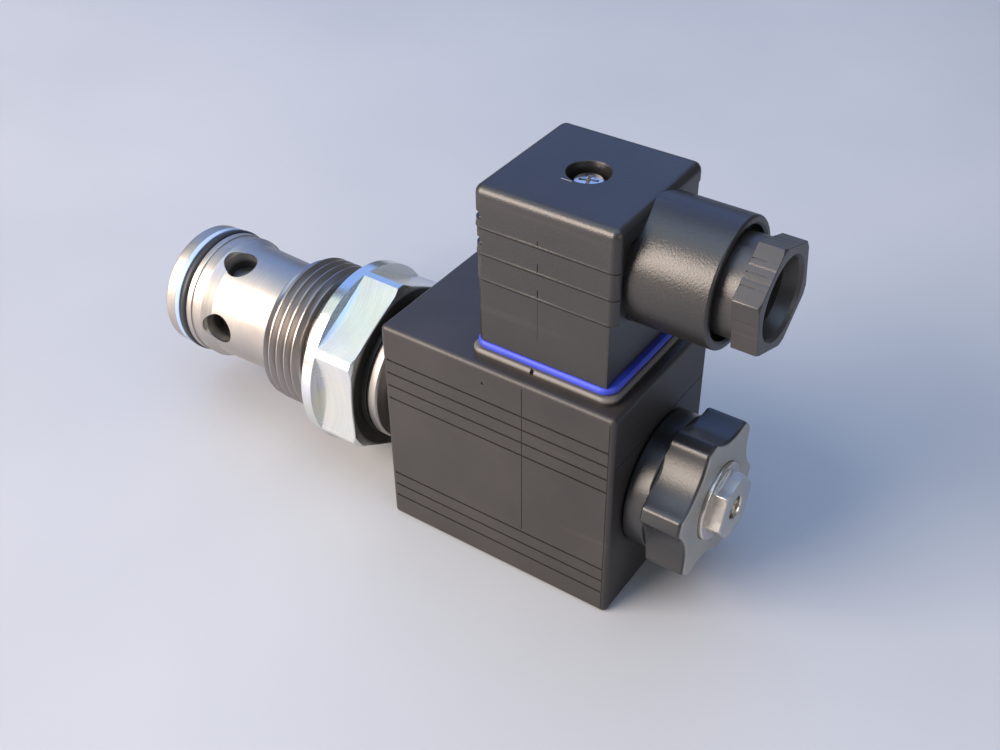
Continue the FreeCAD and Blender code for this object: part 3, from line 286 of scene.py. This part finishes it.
def skin(name, rings, closed=True, capped=False):
    """A mesh object from rings of points in millimetres, each ring closed on itself.

    closed joins the last ring to the first, and capped puts a face over each end ring instead.
    """
    bm = bmesh.new()
    grid = [[bm.verts.new(Vector(p) * MM) for p in ring] for ring in rings]
    pairs = list(zip(grid, grid[1:])) + ([(grid[-1], grid[0])] if closed else [])
    for a, b in pairs:
        for i in range(len(a)):
            k = (i + 1) % len(a)
            bm.faces.new((a[i], a[k], b[k], b[i]))
    if capped:
        bm.faces.new(grid[0])
        bm.faces.new(grid[-1])
    return to_object(name, bm)


def to_object(name, bm):
    """Clean a mesh, turn its faces outwards and put it in the scene."""
    bmesh.ops.remove_doubles(bm, verts=bm.verts, dist=0.002 * MM)
    bmesh.ops.dissolve_degenerate(bm, edges=bm.edges, dist=0.001 * MM)
    bmesh.ops.recalc_face_normals(bm, faces=bm.faces)
    mesh = bpy.data.meshes.new(name)
    bm.to_mesh(mesh)
    bm.free()
    made = bpy.data.objects.new(name, mesh)
    bpy.context.scene.collection.objects.link(made)
    return made


def about_x(cy=0.0, cz=0.0):
    """Places a point (station, radius, angle) about a line along X."""
    return lambda a, r, angle: (a, cy + r * math.cos(angle), cz + r * math.sin(angle))


def about_z(cx, cy=0.0):
    """Places a point (station, radius, angle) about a line along Z."""
    return lambda a, r, angle: (cx + r * math.cos(angle), cy + r * math.sin(angle), a)


def even(count):
    """Evenly spaced angles round a turn."""
    return [TURN * i / count for i in range(count)]


def near(count, corners, reach=3.0, step=0.4):
    """Even angles with extra ones close to the given corner angles, in degrees."""
    wanted = {round(360 * i / count, 4) for i in range(count)}
    for corner in corners:
        k = -reach
        while k <= reach:
            wanted.add(round((corner + k) % 360, 4))
            k += step
    return [math.radians(a) for a in sorted(wanted)]


def spun(name, profile, angles, place=about_x()):
    """A solid turned about an axis. profile is an outline, or gives one for each angle."""
    at = profile if callable(profile) else (lambda angle: profile)
    return skin(name, [[place(a, r, angle) for a, r in at(angle)] for angle in angles])


def square(cx, cy, half, corner, steps=8):
    """Rounded square outline round (cx, cy)."""
    corner = min(max(corner, 0.05), half)
    points = []
    for k, (sx, sy) in enumerate(((1, 1), (-1, 1), (-1, -1), (1, -1))):
        for i in range(steps + 1):
            angle = math.pi / 2 * (k + i / steps)
            points.append((cx + sx * (half - corner) + corner * math.cos(angle),
                           cy + sy * (half - corner) + corner * math.sin(angle)))
    return points


def tower(name, cx, half, corner, levels):
    """A rounded square block with its levels, (height, inset), from foot to top."""
    rings = []
    for z, inset in levels:
        rings.append([(x, y, z) for x, y in square(cx, 0, half - inset, corner - inset)])
    return skin(name, rings, closed=False, capped=True)


def boxes(name, spans, bevel=0.0):
    """Separate boxes in one mesh, each (low corner, high corner) in millimetres."""
    bm = bmesh.new()
    for low, high in spans:
        made = bmesh.ops.create_cube(bm, size=1.0)["verts"]
        for v in made:
            v.co = Vector((low[i] if v.co[i] < 0 else high[i]) for i in range(3)) * MM
    if bevel:
        bmesh.ops.bevel(bm, geom=list(bm.edges), offset=bevel * MM, segments=FILLET_STEPS, profile=0.5,
                        affect="EDGES")
    return to_object(name, bm)


def combine(target, others, operation):
    """Join or cut a mesh with others, exactly, and drop the others."""
    for other in others:
        step = target.modifiers.new("step", "BOOLEAN")
        step.operation = operation
        step.solver = "EXACT"
        step.object = other
        bpy.context.view_layer.update()
        made = bpy.data.meshes.new_from_object(target.evaluated_get(bpy.context.evaluated_depsgraph_get()))
        target.modifiers.clear()
        target.data = made
    for other in others:
        bpy.data.objects.remove(other)
    return target


def settle(piece, body, slot, *nodes, angle=32, finish=None):
    """Give a piece its shading, finish, body and the CAD nodes that it stands for."""
    mesh = piece.data
    for face in mesh.polygons:
        face.use_smooth = True
    mesh.set_sharp_from_angle(angle=math.radians(angle))
    weighted = piece.modifiers.new("weighted", "WEIGHTED_NORMAL")
    weighted.keep_sharp = True
    mesh.materials.clear()
    mesh.materials.append(finish or FINISH[slot])
    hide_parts(*nodes)
    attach(piece, body)
    return piece


def hex_radius(flats, fillet, angle, corner_at):
    """Distance from the axis to a hexagon with rounded corners."""
    away = (math.degrees(angle) - corner_at + 30) % 60 - 30
    apothem = flats / 2
    off_flat = math.radians(30 - abs(away))
    if apothem * math.tan(off_flat) <= (apothem - fillet) * math.tan(math.radians(30)):
        return apothem / math.cos(off_flat)
    centre = (apothem - fillet) / math.cos(math.radians(30))
    psi = math.radians(away)
    return centre * math.cos(psi) + math.sqrt(max(fillet ** 2 - (centre * math.sin(psi)) ** 2, 0))


# ---------------------------------------------------------------- nose

NOSE = 14.25
GROOVE_FRONT, GROOVE_BACK, GROOVE_FLOOR = -42.9, -39.4, 11.9
RELIEF_FRONT, RELIEF_BACK, RELIEF = -37.9, -35.6, 13.95
PORTS, FIRST_PORT, PORT_X, PORT, PORT_MOUTH = 5, 105, -30.6, 3.6, 3.95
SPRING_FOOT, SPRING_HEAD, SPRING_TURNS = -40.0, -29.0, 4.5
SPRING_MEAN, WIRE, STROKE = 5.65, 0.5, 3.0
WIRE_SIDES, STEPS_A_TURN = 12, 48

sleeve = spun("nose_sleeve", rounded([
    (NOSE_END, 10.0, 0.15), (NOSE_END, NOSE, 0.5), (GROOVE_FRONT, NOSE, 0.15),
    (GROOVE_FRONT, GROOVE_FLOOR, 0.1), (GROOVE_BACK, GROOVE_FLOOR, 0.1), (GROOVE_BACK, NOSE, 0.15),
    (RELIEF_FRONT, NOSE, 0.12), (RELIEF_FRONT, RELIEF, 0.08), (RELIEF_BACK, RELIEF, 0.08),
    (RELIEF_BACK, NOSE, 0.12), (-34.9, NOSE, 0.2), (-32.4, 13.25, 1.2), (-24.0, 12.97), (THREAD_FRONT, 12.7),
    (THREAD_FRONT, SOCKET), (1.5, SOCKET, 0.2), (1.5, NOSE_BORE, 0.2), (SPRING_FOOT, NOSE_BORE, 0.1),
    (SPRING_FOOT, 10.0, 0.1)]), even(288))
drills = []
for k in range(PORTS):
    drill = spun("drill", rounded([(6.0, 0.0), (6.0, PORT), (13.0, PORT, 0.3), (13.9, PORT_MOUTH),
                                   (16.0, PORT_MOUTH), (16.0, 0.0)], closed=False), even(72), about_z(0))
    # The drill stands on Z; turn it to the port's direction and move it to the port's station.
    turn = math.radians(FIRST_PORT + 360 / PORTS * k) - math.pi / 2
    drill.data.transform(Matrix.Translation((PORT_X * MM, 0, 0)) @ Matrix.Rotation(turn, 4, "X"))
    drills.append(drill)
combine(sleeve, drills, "DIFFERENCE")
settle(sleeve, "cartridge", "turned_steel", "valve_sleeve")

# The backup ring's bluish colour is painted light on a white ring.
settle(spun("nose_backup", rounded([(-42.85, GROOVE_FLOOR, 0.1), (-42.85, 14.42, 0.2), (-41.5, 14.45, 0.2),
                                    (-41.5, GROOVE_FLOOR, 0.1)]), even(256)), "cartridge", "backup_ptfe",
       "nose_backup_ring")
settle(spun("nose_seal", rounded([(-41.45, GROOVE_FLOOR, 0.6), (-41.45, 14.6, 0.9), (-39.45, 14.6, 0.9),
                                  (-39.45, GROOVE_FLOOR, 0.6)]), even(256)), "cartridge", "black_rubber",
       "nose_oring")


# ---------------------------------------------------------------- return spring


def wire_ring(step, steps):
    """The wire's section at one step of the spring's helix."""
    along = SPRING_FOOT + WIRE + (SPRING_HEAD - SPRING_FOOT - 2 * WIRE) * step / steps
    return [about_x()(along + WIRE * math.cos(a), SPRING_MEAN + WIRE * math.sin(a), TURN * step / STEPS_A_TURN)
            for a in even(WIRE_SIDES)]


def wire_end(ring):
    """A ring shrunk to its centre, which closes the wire."""
    return [sum((Vector(p) for p in ring), Vector()) / WIRE_SIDES] * WIRE_SIDES


wire_steps = int(SPRING_TURNS * STEPS_A_TURN)
wire = [wire_ring(step, wire_steps) for step in range(wire_steps + 1)]
spring = settle(skin("coil_spring", [wire_end(wire[0]), *wire, wire_end(wire[-1])], closed=False), "cartridge",
                "spring_steel", "return_spring")
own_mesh(spring)

# ---------------------------------------------------------------- threaded body

PITCH = 2.1167
CREST, ROOT, RUN_OUT = 16.6, 15.45, 15.0
HEX_FLATS, BODY_CORNER, COLLAR = 36, 88.4, 20.3
# One pitch of the thread: share of the pitch, height share from root to crest.
THREAD_WAVE = ((0.0, 1.0), (0.04, 1.0), (0.075, 0.95), (0.11, 0.84), (0.40, 0.13), (0.44, 0.03), (0.485, 0.0),
               (0.53, 0.03), (0.57, 0.13), (0.86, 0.84), (0.895, 0.95), (0.93, 1.0))


def thread_height(x, angle):
    """Radius of the endless thread at a station and an angle."""
    share = ((x - THREAD_FRONT) / PITCH - angle / TURN) % 1.0
    last = THREAD_WAVE[-1]
    for point in (*THREAD_WAVE, (1.0, 1.0)):
        if share <= point[0] + 1e-9:
            width = point[0] - last[0]
            t = (share - last[0]) / width if width > 1e-9 else 1.0
            return ROOT + (CREST - ROOT) * (last[1] + (point[1] - last[1]) * max(0.0, min(1.0, t)))
        last = point
    return CREST


def thread_limit(x):
    """Largest radius near the thread's two ends, where it runs out."""
    return min(CREST, RUN_OUT + max(0.0, x - THREAD_FRONT), 15.35 + max(0.0, THREAD_BACK - x) * 1.6)


def thread_rows(angle):
    """The thread's outline at an angle, with a row on each corner of its wave."""
    rows = []
    turns = int((THREAD_BACK - THREAD_FRONT) / PITCH) + 3
    for turn in range(turns):
        for share, _ in THREAD_WAVE:
            x = THREAD_FRONT + (turn - 1 + share + angle / TURN) * PITCH
            x = min(max(x, THREAD_FRONT), THREAD_BACK)
            rows.append((x, min(thread_height(x, angle), thread_limit(x))))
    return rows


def adapter_outline(angle):
    """Bore, thread, collar and hexagon. The hexagon's corners are turned flush with the collar."""
    corner = min(hex_radius(HEX_FLATS, 0.35, angle, BODY_CORNER), COLLAR)
    back_radius = min(19.4, corner - 0.2)
    head = rounded([(1.5, TUBE), (1.5, SOCKET), (THREAD_FRONT, SOCKET), (THREAD_FRONT, RUN_OUT)])
    tail = rounded([
        (THREAD_BACK, RUN_OUT), (0.2, RUN_OUT, 0.1), (0.2, 17.3, 0.05), (0.0, 17.3, 0.05), (0.0, 19.9, 0.1),
        (0.4, COLLAR, 0.15), (COLLAR_END, COLLAR), (COLLAR_END + 0.02 + (COLLAR - corner) * 0.08, corner),
        (HEX_END - (corner - back_radius) * 0.58, corner, 0.15), (HEX_END, back_radius, 0.15),
        (HEX_END, 15.0, 0.1), (BODY_END, 15.0, 0.12), (BODY_END, TUBE)], closed=False)
    return head + thread_rows(angle) + tail


# The last ring repeats the first a whole turn on, because the thread's rows have moved on by a pitch.
adapter_angles = near(300, [BODY_CORNER + 60 * k for k in range(6)], 2.4, 0.3) + [TURN]
adapter_rings = [[about_x()(a, r, angle) for a, r in adapter_outline(angle)] for angle in adapter_angles]
settle(skin("hex_body", adapter_rings, closed=False), "cartridge", "zinc_steel", "hex_adapter", angle=24)


def torus_outline(x, mean, section, count=20):
    """Round section of a ring."""
    return [(x + section * math.cos(TURN * k / count), mean + section * math.sin(TURN * k / count))
            for k in range(count)]


settle(spun("seat_seal", torus_outline(-0.85, 16.05, 1.05), even(256)), "cartridge", "black_rubber",
       "body_oring")
settle(spun("gap_ring", rounded([(BODY_END, TUBE), (BODY_END, 14.7, 0.2), (RING_FRONT, 14.7, 0.2),
                                 (RING_FRONT, TUBE)]), even(200)), "cartridge", "black_rubber", "collar_oring")
settle(spun("steel_ring", rounded([(RING_FRONT, TUBE, 0.1), (RING_FRONT, 15.0, 0.15), (15.6, 15.0, 0.15),
                                   (RING_BACK, 14.6, 0.12), (RING_BACK, TUBE, 0.1)]), even(256)),
       "cartridge", "turned_steel", "collar_ring")

# ---------------------------------------------------------------- coil

COIL_BORE, COIL_ROOM = 11.6, 16.4
# Heights of the fine grooves in the coil's sides, and how deep and how wide they are cut.
GROOVES = (8.3, 11.45, 14.6, 17.75, -11.8, -14.95, -18.1)
GROOVE_DEPTH, HALF_GROOVE, HAIR_DEPTH, OVER = 0.35, 0.21, 0.1, 0.5

coil = boxes("coil_body", [((COIL_FRONT, -COIL_HALF, COIL_FOOT), (COIL_BACK, COIL_HALF, COIL_TOP))], 1.0)
pad = tower("pad", PLUG_X, 15.4, 2.6, [(24.0, 0)] + rounded([
    (26.2, 0), (26.65, 0, 0.2), (PAD_TOP, 0.4, 0.2), (PAD_TOP, 1.2)], closed=False))
combine(coil, [pad], "UNION")
bore = spun("bore", [
    (20.0, 0.0), (20.0, 12.2), (COIL_FRONT, 12.2), (22.0, COIL_BORE), (24.4, COIL_BORE), (24.4, COIL_ROOM),
    (70.5, COIL_ROOM), (70.5, COIL_BORE), (72.9, COIL_BORE), (COIL_BACK, 12.2), (75.0, 12.2), (75.0, 0.0)],
    even(192))
lines = []
hair = []
for side in (-1, 1):
    y0, y1 = sorted((side * (COIL_HALF - GROOVE_DEPTH), side * (COIL_HALF + OVER)))
    lines += [((22.5, y0, z - HALF_GROOVE), (72.4, y1, z + HALF_GROOVE)) for z in GROOVES]
    y0, y1 = sorted((side * (COIL_HALF - HAIR_DEPTH), side * (COIL_HALF + OVER)))
    hair.append(((53.92, y0, -11.0), (54.08, y1, 24.3)))
    hair.append(((72.45, y0, -22.4), (72.6, y1, 24.3)))
hair.append(((COIL_BACK - HAIR_DEPTH, -16.6, 13.42), (COIL_BACK + OVER, 16.6, 13.58)))
# A nick in the side and one in the pad's edge.
marks = [((45.0, -COIL_HALF - OVER, 21.5), (45.55, -COIL_HALF + 0.2, 22.1)),
         ((54.1, -15.9, 26.2), (54.9, -14.6, 27.5))]
blade_slots = [((64.6, -3.15, 17.6), (65.4, 3.15, 28.0)), ((46.6, -3.15, 17.6), (47.4, 3.15, 28.0)),
               ((52.85, 8.6, 17.6), (59.15, 9.4, 28.0))]
bush_hole = spun("bush_hole", [(18.0, 0.0), (18.0, 2.8), (28.0, 2.8), (28.0, 0.0)], even(64), about_z(PLUG_X))
combine(coil, [bore, boxes("lines", lines), boxes("hair", hair), boxes("marks", marks), bush_hole,
               boxes("slots", blade_slots)], "DIFFERENCE")
settle(coil, "coil", "coil_plastic", "coil_housing")

# ---------------------------------------------------------------- connector

PLUG_HALF, PLUG_ROUND, PLUG_MIDDLE = 14.6, 1.8, 56.2
GASKET_HALF, GASKET_ROUND, GASKET_WIDTH = 14.8, 2.8, 4.75
BOSS, BOSS_END, BOSS_BORE, NUT_ROOM = 11.9, 85.7, 8.05, 10.3
# Tops of the plug's three bands, and how far each lies inside the one above it.
BANDS = (53.0, 47.65, 42.3)
STEP = 0.08

# ---------------------------------------------------------------- gasket

gasket_rings = []
for z, inset in rounded([
        (27.12, 0.35, 0.3), (27.12, GASKET_WIDTH), (28.68, GASKET_WIDTH), (28.68, 0.35, 0.3), (28.2, 0.0, 0.4),
        (27.6, 0.0, 0.4)]):
    corner = GASKET_ROUND - inset if inset < 3 else 0.6
    gasket_rings.append([(x, y, z) for x, y in square(PLUG_X, 0, GASKET_HALF - inset, corner)])
settle(skin("blue_gasket", gasket_rings), "connector", "blue_rubber", "connector_gasket")

# ---------------------------------------------------------------- plug housing

inset = STEP * len(BANDS) + 0.05
levels = [(GASKET_TOP, inset + 0.15), (28.85, inset)]
for z in reversed(BANDS):
    levels += [(z - 0.38, inset), (z - 0.30, inset + 0.14), (z - 0.06, inset + 0.14), (z, inset - STEP - 0.13),
               (z + 0.20, inset - STEP - 0.13), (z + 0.48, inset - STEP)]
    inset -= STEP
levels += rounded([(55.0, 0.05), (PLUG_TOP, 0.05, 1.7), (PLUG_TOP, 4.0)], closed=False)[1:]
housing = tower("plug_housing", PLUG_MIDDLE, PLUG_HALF, PLUG_ROUND, levels)
boss = spun("boss", rounded([(66.0, 0.0), (66.0, BOSS), (BOSS_END, BOSS, 0.6), (BOSS_END, 10.75, 0.2),
                             (85.3, NUT_ROOM, 0.1), (85.3, 0.0)], closed=False), even(192), about_x(0, GLAND_Z))
combine(housing, [boss], "UNION")
cavity = tower("cavity", PLUG_X, 12.2, 1.2, [(27.0, 0), (58.4, 0)])
pillar = spun("pillar", [(53.4, 0.0), (53.4, 4.9), (59.0, 4.9), (59.0, 0.0)], even(64), about_z(PLUG_X))
combine(cavity, [pillar], "DIFFERENCE")
recess = spun("recess", rounded([(56.9, 0.0), (56.9, 3.95, 0.2), (60.75, 3.95, 0.1), (61.0, 4.2), (62.0, 4.2),
                                 (62.0, 0.0)], closed=False), even(96), about_z(PLUG_X))
hole = spun("hole", [(50.0, 0.0), (50.0, 1.75), (57.5, 1.75), (57.5, 0.0)], even(48), about_z(PLUG_X))
gland_bore = spun("gland_bore", [(66.5, 0.0), (66.5, BOSS_BORE), (82.9, BOSS_BORE), (82.9, NUT_ROOM),
                                 (86.5, NUT_ROOM), (86.5, 0.0)], even(160), about_x(0, GLAND_Z))
# The parting line: a short cut above each band's top, and two finer stretches.
seams = [((54.93, -15.0, z + 0.3), (55.08, -14.2, z + high)) for z, high in zip(BANDS, (1.2, 2.0, 1.9))]
seams += [((54.97, -15.0, 33.0), (55.03, -14.24, 41.7)), ((54.97, -15.0, 46.0), (55.03, -14.4, 47.0))]
# The two notches at the back, which reach deeper at the near corner.
NOTCHES, HALF_NOTCH = (55.3, 50.2), 0.7
back_grooves = [((41.0, -16.0, z - HALF_NOTCH), (42.75, 16.0, z + HALF_NOTCH)) for z in NOTCHES]
corner_grooves = [((41.0, -16.0, z - HALF_NOTCH), (43.5, -14.0, z + HALF_NOTCH)) for z in NOTCHES]
flank = boxes("flank", [((69.45, -15.5, 28.0), (71.5, 15.5, 42.1))])
side = boxes("side", [((70.05, -13.1, 41.9), (71.5, 15.5, 57.5))])
for cut in (flank, side):
    combine(cut, [spun("boss_room", [(68.0, 0.0), (68.0, 12.0), (73.0, 12.0), (73.0, 0.0)], even(192),
                       about_x(0, GLAND_Z))], "DIFFERENCE")
combine(housing, [cavity, recess, hole, gland_bore, boxes("seams", seams), flank, side,
                  boxes("back_grooves", back_grooves, 0.2), boxes("corner_grooves", corner_grooves, 0.2)],
        "DIFFERENCE")
settle(housing, "connector", "housing_plastic", "connector_housing")

# ---------------------------------------------------------------- centre screw

screw = spun("plug_screw", rounded([(21.5, 0.0), (21.5, 1.5, 0.3), (57.4, 1.5, 0.1), (57.4, 2.8, 0.15),
                                    (59.3, 2.8, 0.35), (59.3, 0.0)], closed=False), even(64), about_z(PLUG_X))
slot = boxes("slot", [((PLUG_X - 0.35, -1.8, 58.4), (PLUG_X + 0.35, 1.8, 59.6))])
cross = boxes("cross", [((PLUG_X - 1.8, -0.35, 58.4), (PLUG_X + 1.8, 0.35, 59.6))])
to_axis = Matrix.Translation((PLUG_X * MM, 0, 0))
for cutter in (slot, cross):
    cutter.data.transform(to_axis @ Matrix.Rotation(math.radians(20), 4, "Z") @ to_axis.inverted())
combine(screw, [slot, cross], "DIFFERENCE")
settle(screw, "centre_screw_body", "zinc_steel", "centre_screw")

# ---------------------------------------------------------------- gland nut

NUT_FLATS, NUT_CORNER = 18.4, 100
RIB_GROOVES, HALF_RIB = (-2.4, 0.0, 2.4), 0.13


def nut_outline(angle):
    """Threaded neck and hexagon of the gland nut, with its cable mouth."""
    corner = hex_radius(NUT_FLATS, 0.3, angle, NUT_CORNER)
    rim = min(10.0, corner - 0.12)
    return rounded([
        (77.6, 6.5, 0.15), (77.6, 8.0, 0.2), (84.0, 8.0, 0.1), (84.0, 9.15, 0.3), (88.7, 9.15, 0.05),
        (88.7, corner if corner > 9.3 else 9.18, 0.15), (NUT_FACE - (corner - rim) * 0.58, corner, 0.12),
        (NUT_FACE, rim, 0.12), (NUT_FACE, 7.75, 0.12), (92.9, 7.3, 0.2), (90.4, 6.5, 0.3)])


nut = spun("gland_hex_nut", nut_outline, near(360, [NUT_CORNER + 60 * k for k in range(6)], 3, 0.4),
           about_x(0, GLAND_Z))
nut_cuts = []
for k in range(3):
    # Three grooves in every other flat, cut with the flat uppermost and then turned to it.
    cuts = boxes("cuts", [((88.9, across - HALF_RIB, 9.0), (92.6 - 0.5 * abs(across), across + HALF_RIB, 10.0))
                          for across in RIB_GROOVES])
    turn = math.radians(NUT_CORNER + 30 + 120 * k - 90)
    cuts.data.transform(Matrix.Translation((0, 0, GLAND_Z * MM)) @ Matrix.Rotation(turn, 4, "X"))
    nut_cuts.append(cuts)
combine(nut, nut_cuts, "DIFFERENCE")
settle(nut, "gland_nut_body", "housing_plastic", "gland_nut", finish=FINISH["nut_plastic"])

# ---------------------------------------------------------------- coil nut


KNOB_FOOT, KNOB, KNOB_NECK, KNOB_LIP = 73.9, 15.8, 13.8, 8.05
SCALLOP, SCALLOP_AT = 13.2, 25.9


def smooth_min(a, b, k):
    """The smaller of two values, with the change from one to the other rounded over k."""
    h = max(k - abs(a - b), 0.0) / k
    return min(a, b) - h * h * k / 4


def knob_radius(angle):
    """Six lobes, with round scallops between them."""
    away = (math.degrees(angle) - 45) % 60 - 30
    side = SCALLOP_AT * math.sin(math.radians(away))
    scallop = SCALLOP_AT * math.cos(math.radians(away)) - math.sqrt(max(SCALLOP ** 2 - side ** 2, 0.0))
    return smooth_min(KNOB, scallop, 0.8)


def knob_outline(angle):
    lobe = knob_radius(angle)
    return rounded([
        (KNOB_FOOT, 11.65, 0.1), (KNOB_FOOT, 11.2, 0.1), (85.9, 11.2), (85.9, KNOB_LIP),
        (KNOB_FACE, KNOB_LIP, 0.1), (KNOB_FACE, lobe, 0.9), (78.2, lobe, 0.6), (78.2, KNOB_NECK, 0.3),
        (KNOB_FOOT, KNOB_NECK, 0.4), (KNOB_FOOT, 13.15, 0.1), (75.05, 13.15, 0.1), (75.05, 11.65, 0.1)])


settle(spun("lobed_nut", knob_outline, even(360)), "coil_nut_body", "knob_plastic", "coil_nut", angle=38)
# ---------------------------------------------------------------- tube end: washer, plug, tube and pin

PLUG_FLATS, PLUG_CORNER, WASHER, WASHER_SEAT = 12, 129, 7.98, 5.9
TUBE_FRONT, TUBE_END, THREAD_START, RINGS, RING_ROOT = 5.0, 85.8, 76.4, 9, 9.15
PIN, PIN_HOLE, PIN_FRONT, PIN_END = 1.9, 1.95, 68.0, 89.4

settle(spun("bright_washer", rounded([(KNOB_FACE, WASHER_SEAT, 0.05), (KNOB_FACE, WASHER, 0.05),
                                      (87.5, WASHER, 0.35), (87.5, WASHER_SEAT, 0.05)]), even(160)),
       "cartridge", "nickel_steel", "end_washer")


def plug_outline(angle):
    """Tube plug: seal groove, shoulder, washer seat and hexagon, with the pin's bore and its seal's groove."""
    corner = hex_radius(PLUG_FLATS, 0.2, angle, PLUG_CORNER)
    rim = min(6.35, corner - 0.12)
    return rounded([
        (68.2, PIN_HOLE), (68.2, TUBE_BORE, 0.2), (74.0, TUBE_BORE), (74.0, 6.9), (76.0, 6.9),
        (76.0, TUBE_BORE), (85.0, TUBE_BORE), (85.0, 7.9), (KNOB_FACE, 7.9, 0.05), (KNOB_FACE, WASHER_SEAT),
        (87.4, WASHER_SEAT), (87.4, corner), (PLUG_END - (corner - rim) * 0.5, corner, 0.1),
        (PLUG_END, rim, 0.1), (PLUG_END, 2.6, 0.1), (90.2, 2.35, 0.1), (85.0, 2.35), (85.0, PIN_HOLE),
        (79.8, PIN_HOLE), (79.8, 3.4), (78.0, 3.4), (78.0, PIN_HOLE)])


settle(spun("hex_plug", plug_outline, near(240, [PLUG_CORNER + 60 * k for k in range(6)], 3, 0.4)), "cartridge",
       "nickel_steel", "end_plug")
tube = [(TUBE_FRONT, TUBE_BORE), (TUBE_FRONT, TUBE), (THREAD_START, TUBE)]
for k in range(RINGS):
    tube += [(76.6 + k, RING_ROOT), (76.8 + k, RING_ROOT), (77.1 + k, TUBE), (77.3 + k, TUBE)]
tube += [(85.4, TUBE, 0.1), (TUBE_END, 9.1, 0.1), (TUBE_END, TUBE_BORE, 0.1)]
settle(spun("threaded_tube", rounded(tube), even(160)), "cartridge", "nickel_steel", "armature_tube")
settle(spun("override_button", rounded([(PIN_FRONT, 0.0), (PIN_FRONT, PIN, 0.2), (PIN_END, PIN, 0.7),
                                        (PIN_END, 0.0)], closed=False), even(64)),
       "override", "nickel_steel", "override_pin")

# ---------------------------------------------------------------- CAD nodes that stay

slot_of = {part["node"]: part["material_slot"] for part in frame["record"]["subparts"]}
for node, thing in frame["nodes"].items():
    if not thing.hide_render:
        thing.data.materials.clear()
        thing.data.materials.append(FINISH[slot_of[node]])

# ---------------------------------------------------------------- floor, light, camera

floor_tree = Tree("floor")
haze = floor_tree.noise(6, 4)
floor_paint = floor_tree.finish(
    floor_tree.mix(floor_tree.between(haze, 0.0, 1.0), (0.42, 0.43, 0.445), (0.49, 0.495, 0.505)),
    floor_tree.between(haze, 0.42, 0.52), floor_tree.bump(floor_tree.noise(900, 2), 0.00001))
bm = bmesh.new()
bmesh.ops.create_grid(bm, x_segments=1, y_segments=1, size=1.6)
floor = to_object("floor", bm)
floor.location = (0.0, 0.0, (COIL_FOOT - 0.02) * MM)
floor.data.materials.append(floor_paint)


CENTRE = (0.03, 0.0, 0.01)


def panel(name, place, size, power, color):
    """A large soft lamp that faces the part."""
    data = bpy.data.lights.new(name, "AREA")
    data.shape = "RECTANGLE"
    data.size, data.size_y = size
    data.energy = power
    data.color = color
    lamp = bpy.data.objects.new(name, data)
    bpy.context.scene.collection.objects.link(lamp)
    lamp.location = place
    lamp.rotation_euler = (Vector(place) - Vector(CENTRE)).to_track_quat("Z", "Y").to_euler()


panel("key", (-0.55, -0.85, 0.55), (0.9, 0.7), 27, (1.0, 0.86, 0.75))
panel("sky", (-0.75, 1.05, 1.0), (1.6, 1.3), 6.5, (0.20, 0.40, 1.0))
panel("overhead", (0.1, -0.1, 1.3), (1.4, 1.4), 12, (0.50, 0.68, 1.0))
panel("glint", (-0.55, -0.27, 1.08), (0.6, 0.5), 0.8, (0.90, 1.0, 0.92))
panel("side", (1.1, -0.35, 0.45), (0.6, 0.5), 2, (1.0, 0.97, 0.92))

world = bpy.data.worlds.new("room")
world.use_nodes = True
world.node_tree.nodes["Background"].inputs[0].default_value = (0.62, 0.68, 0.80, 1.0)
world.node_tree.nodes["Background"].inputs[1].default_value = 0.24
bpy.context.scene.world = world
bpy.context.scene.view_settings.view_transform = "Standard"

# The camera, by its direction from the part, its roll, its place in metres and its lens.
azimuth, elevation, roll = (math.radians(v) for v in (34.94, 38.19, -0.81))
back = Vector((math.sin(azimuth) * math.cos(elevation), -math.cos(azimuth) * math.cos(elevation),
               math.sin(elevation)))
right = Vector((0, 0, 1)).cross(back).normalized()
up = back.cross(right)
right, up = (math.cos(roll) * right + math.sin(roll) * up, math.cos(roll) * up - math.sin(roll) * right)
camera_data = bpy.data.cameras.new("camera")
camera_data.lens = 46.03
camera_data.sensor_width = 36
camera_data.clip_start = 0.01
camera = bpy.data.objects.new("camera", camera_data)
bpy.context.scene.collection.objects.link(camera)
place = Matrix((right, up, back)).transposed().to_4x4()
place.translation = Vector((0.15361, -0.16709, 0.16875))
camera.matrix_world = place
bpy.context.scene.camera = camera
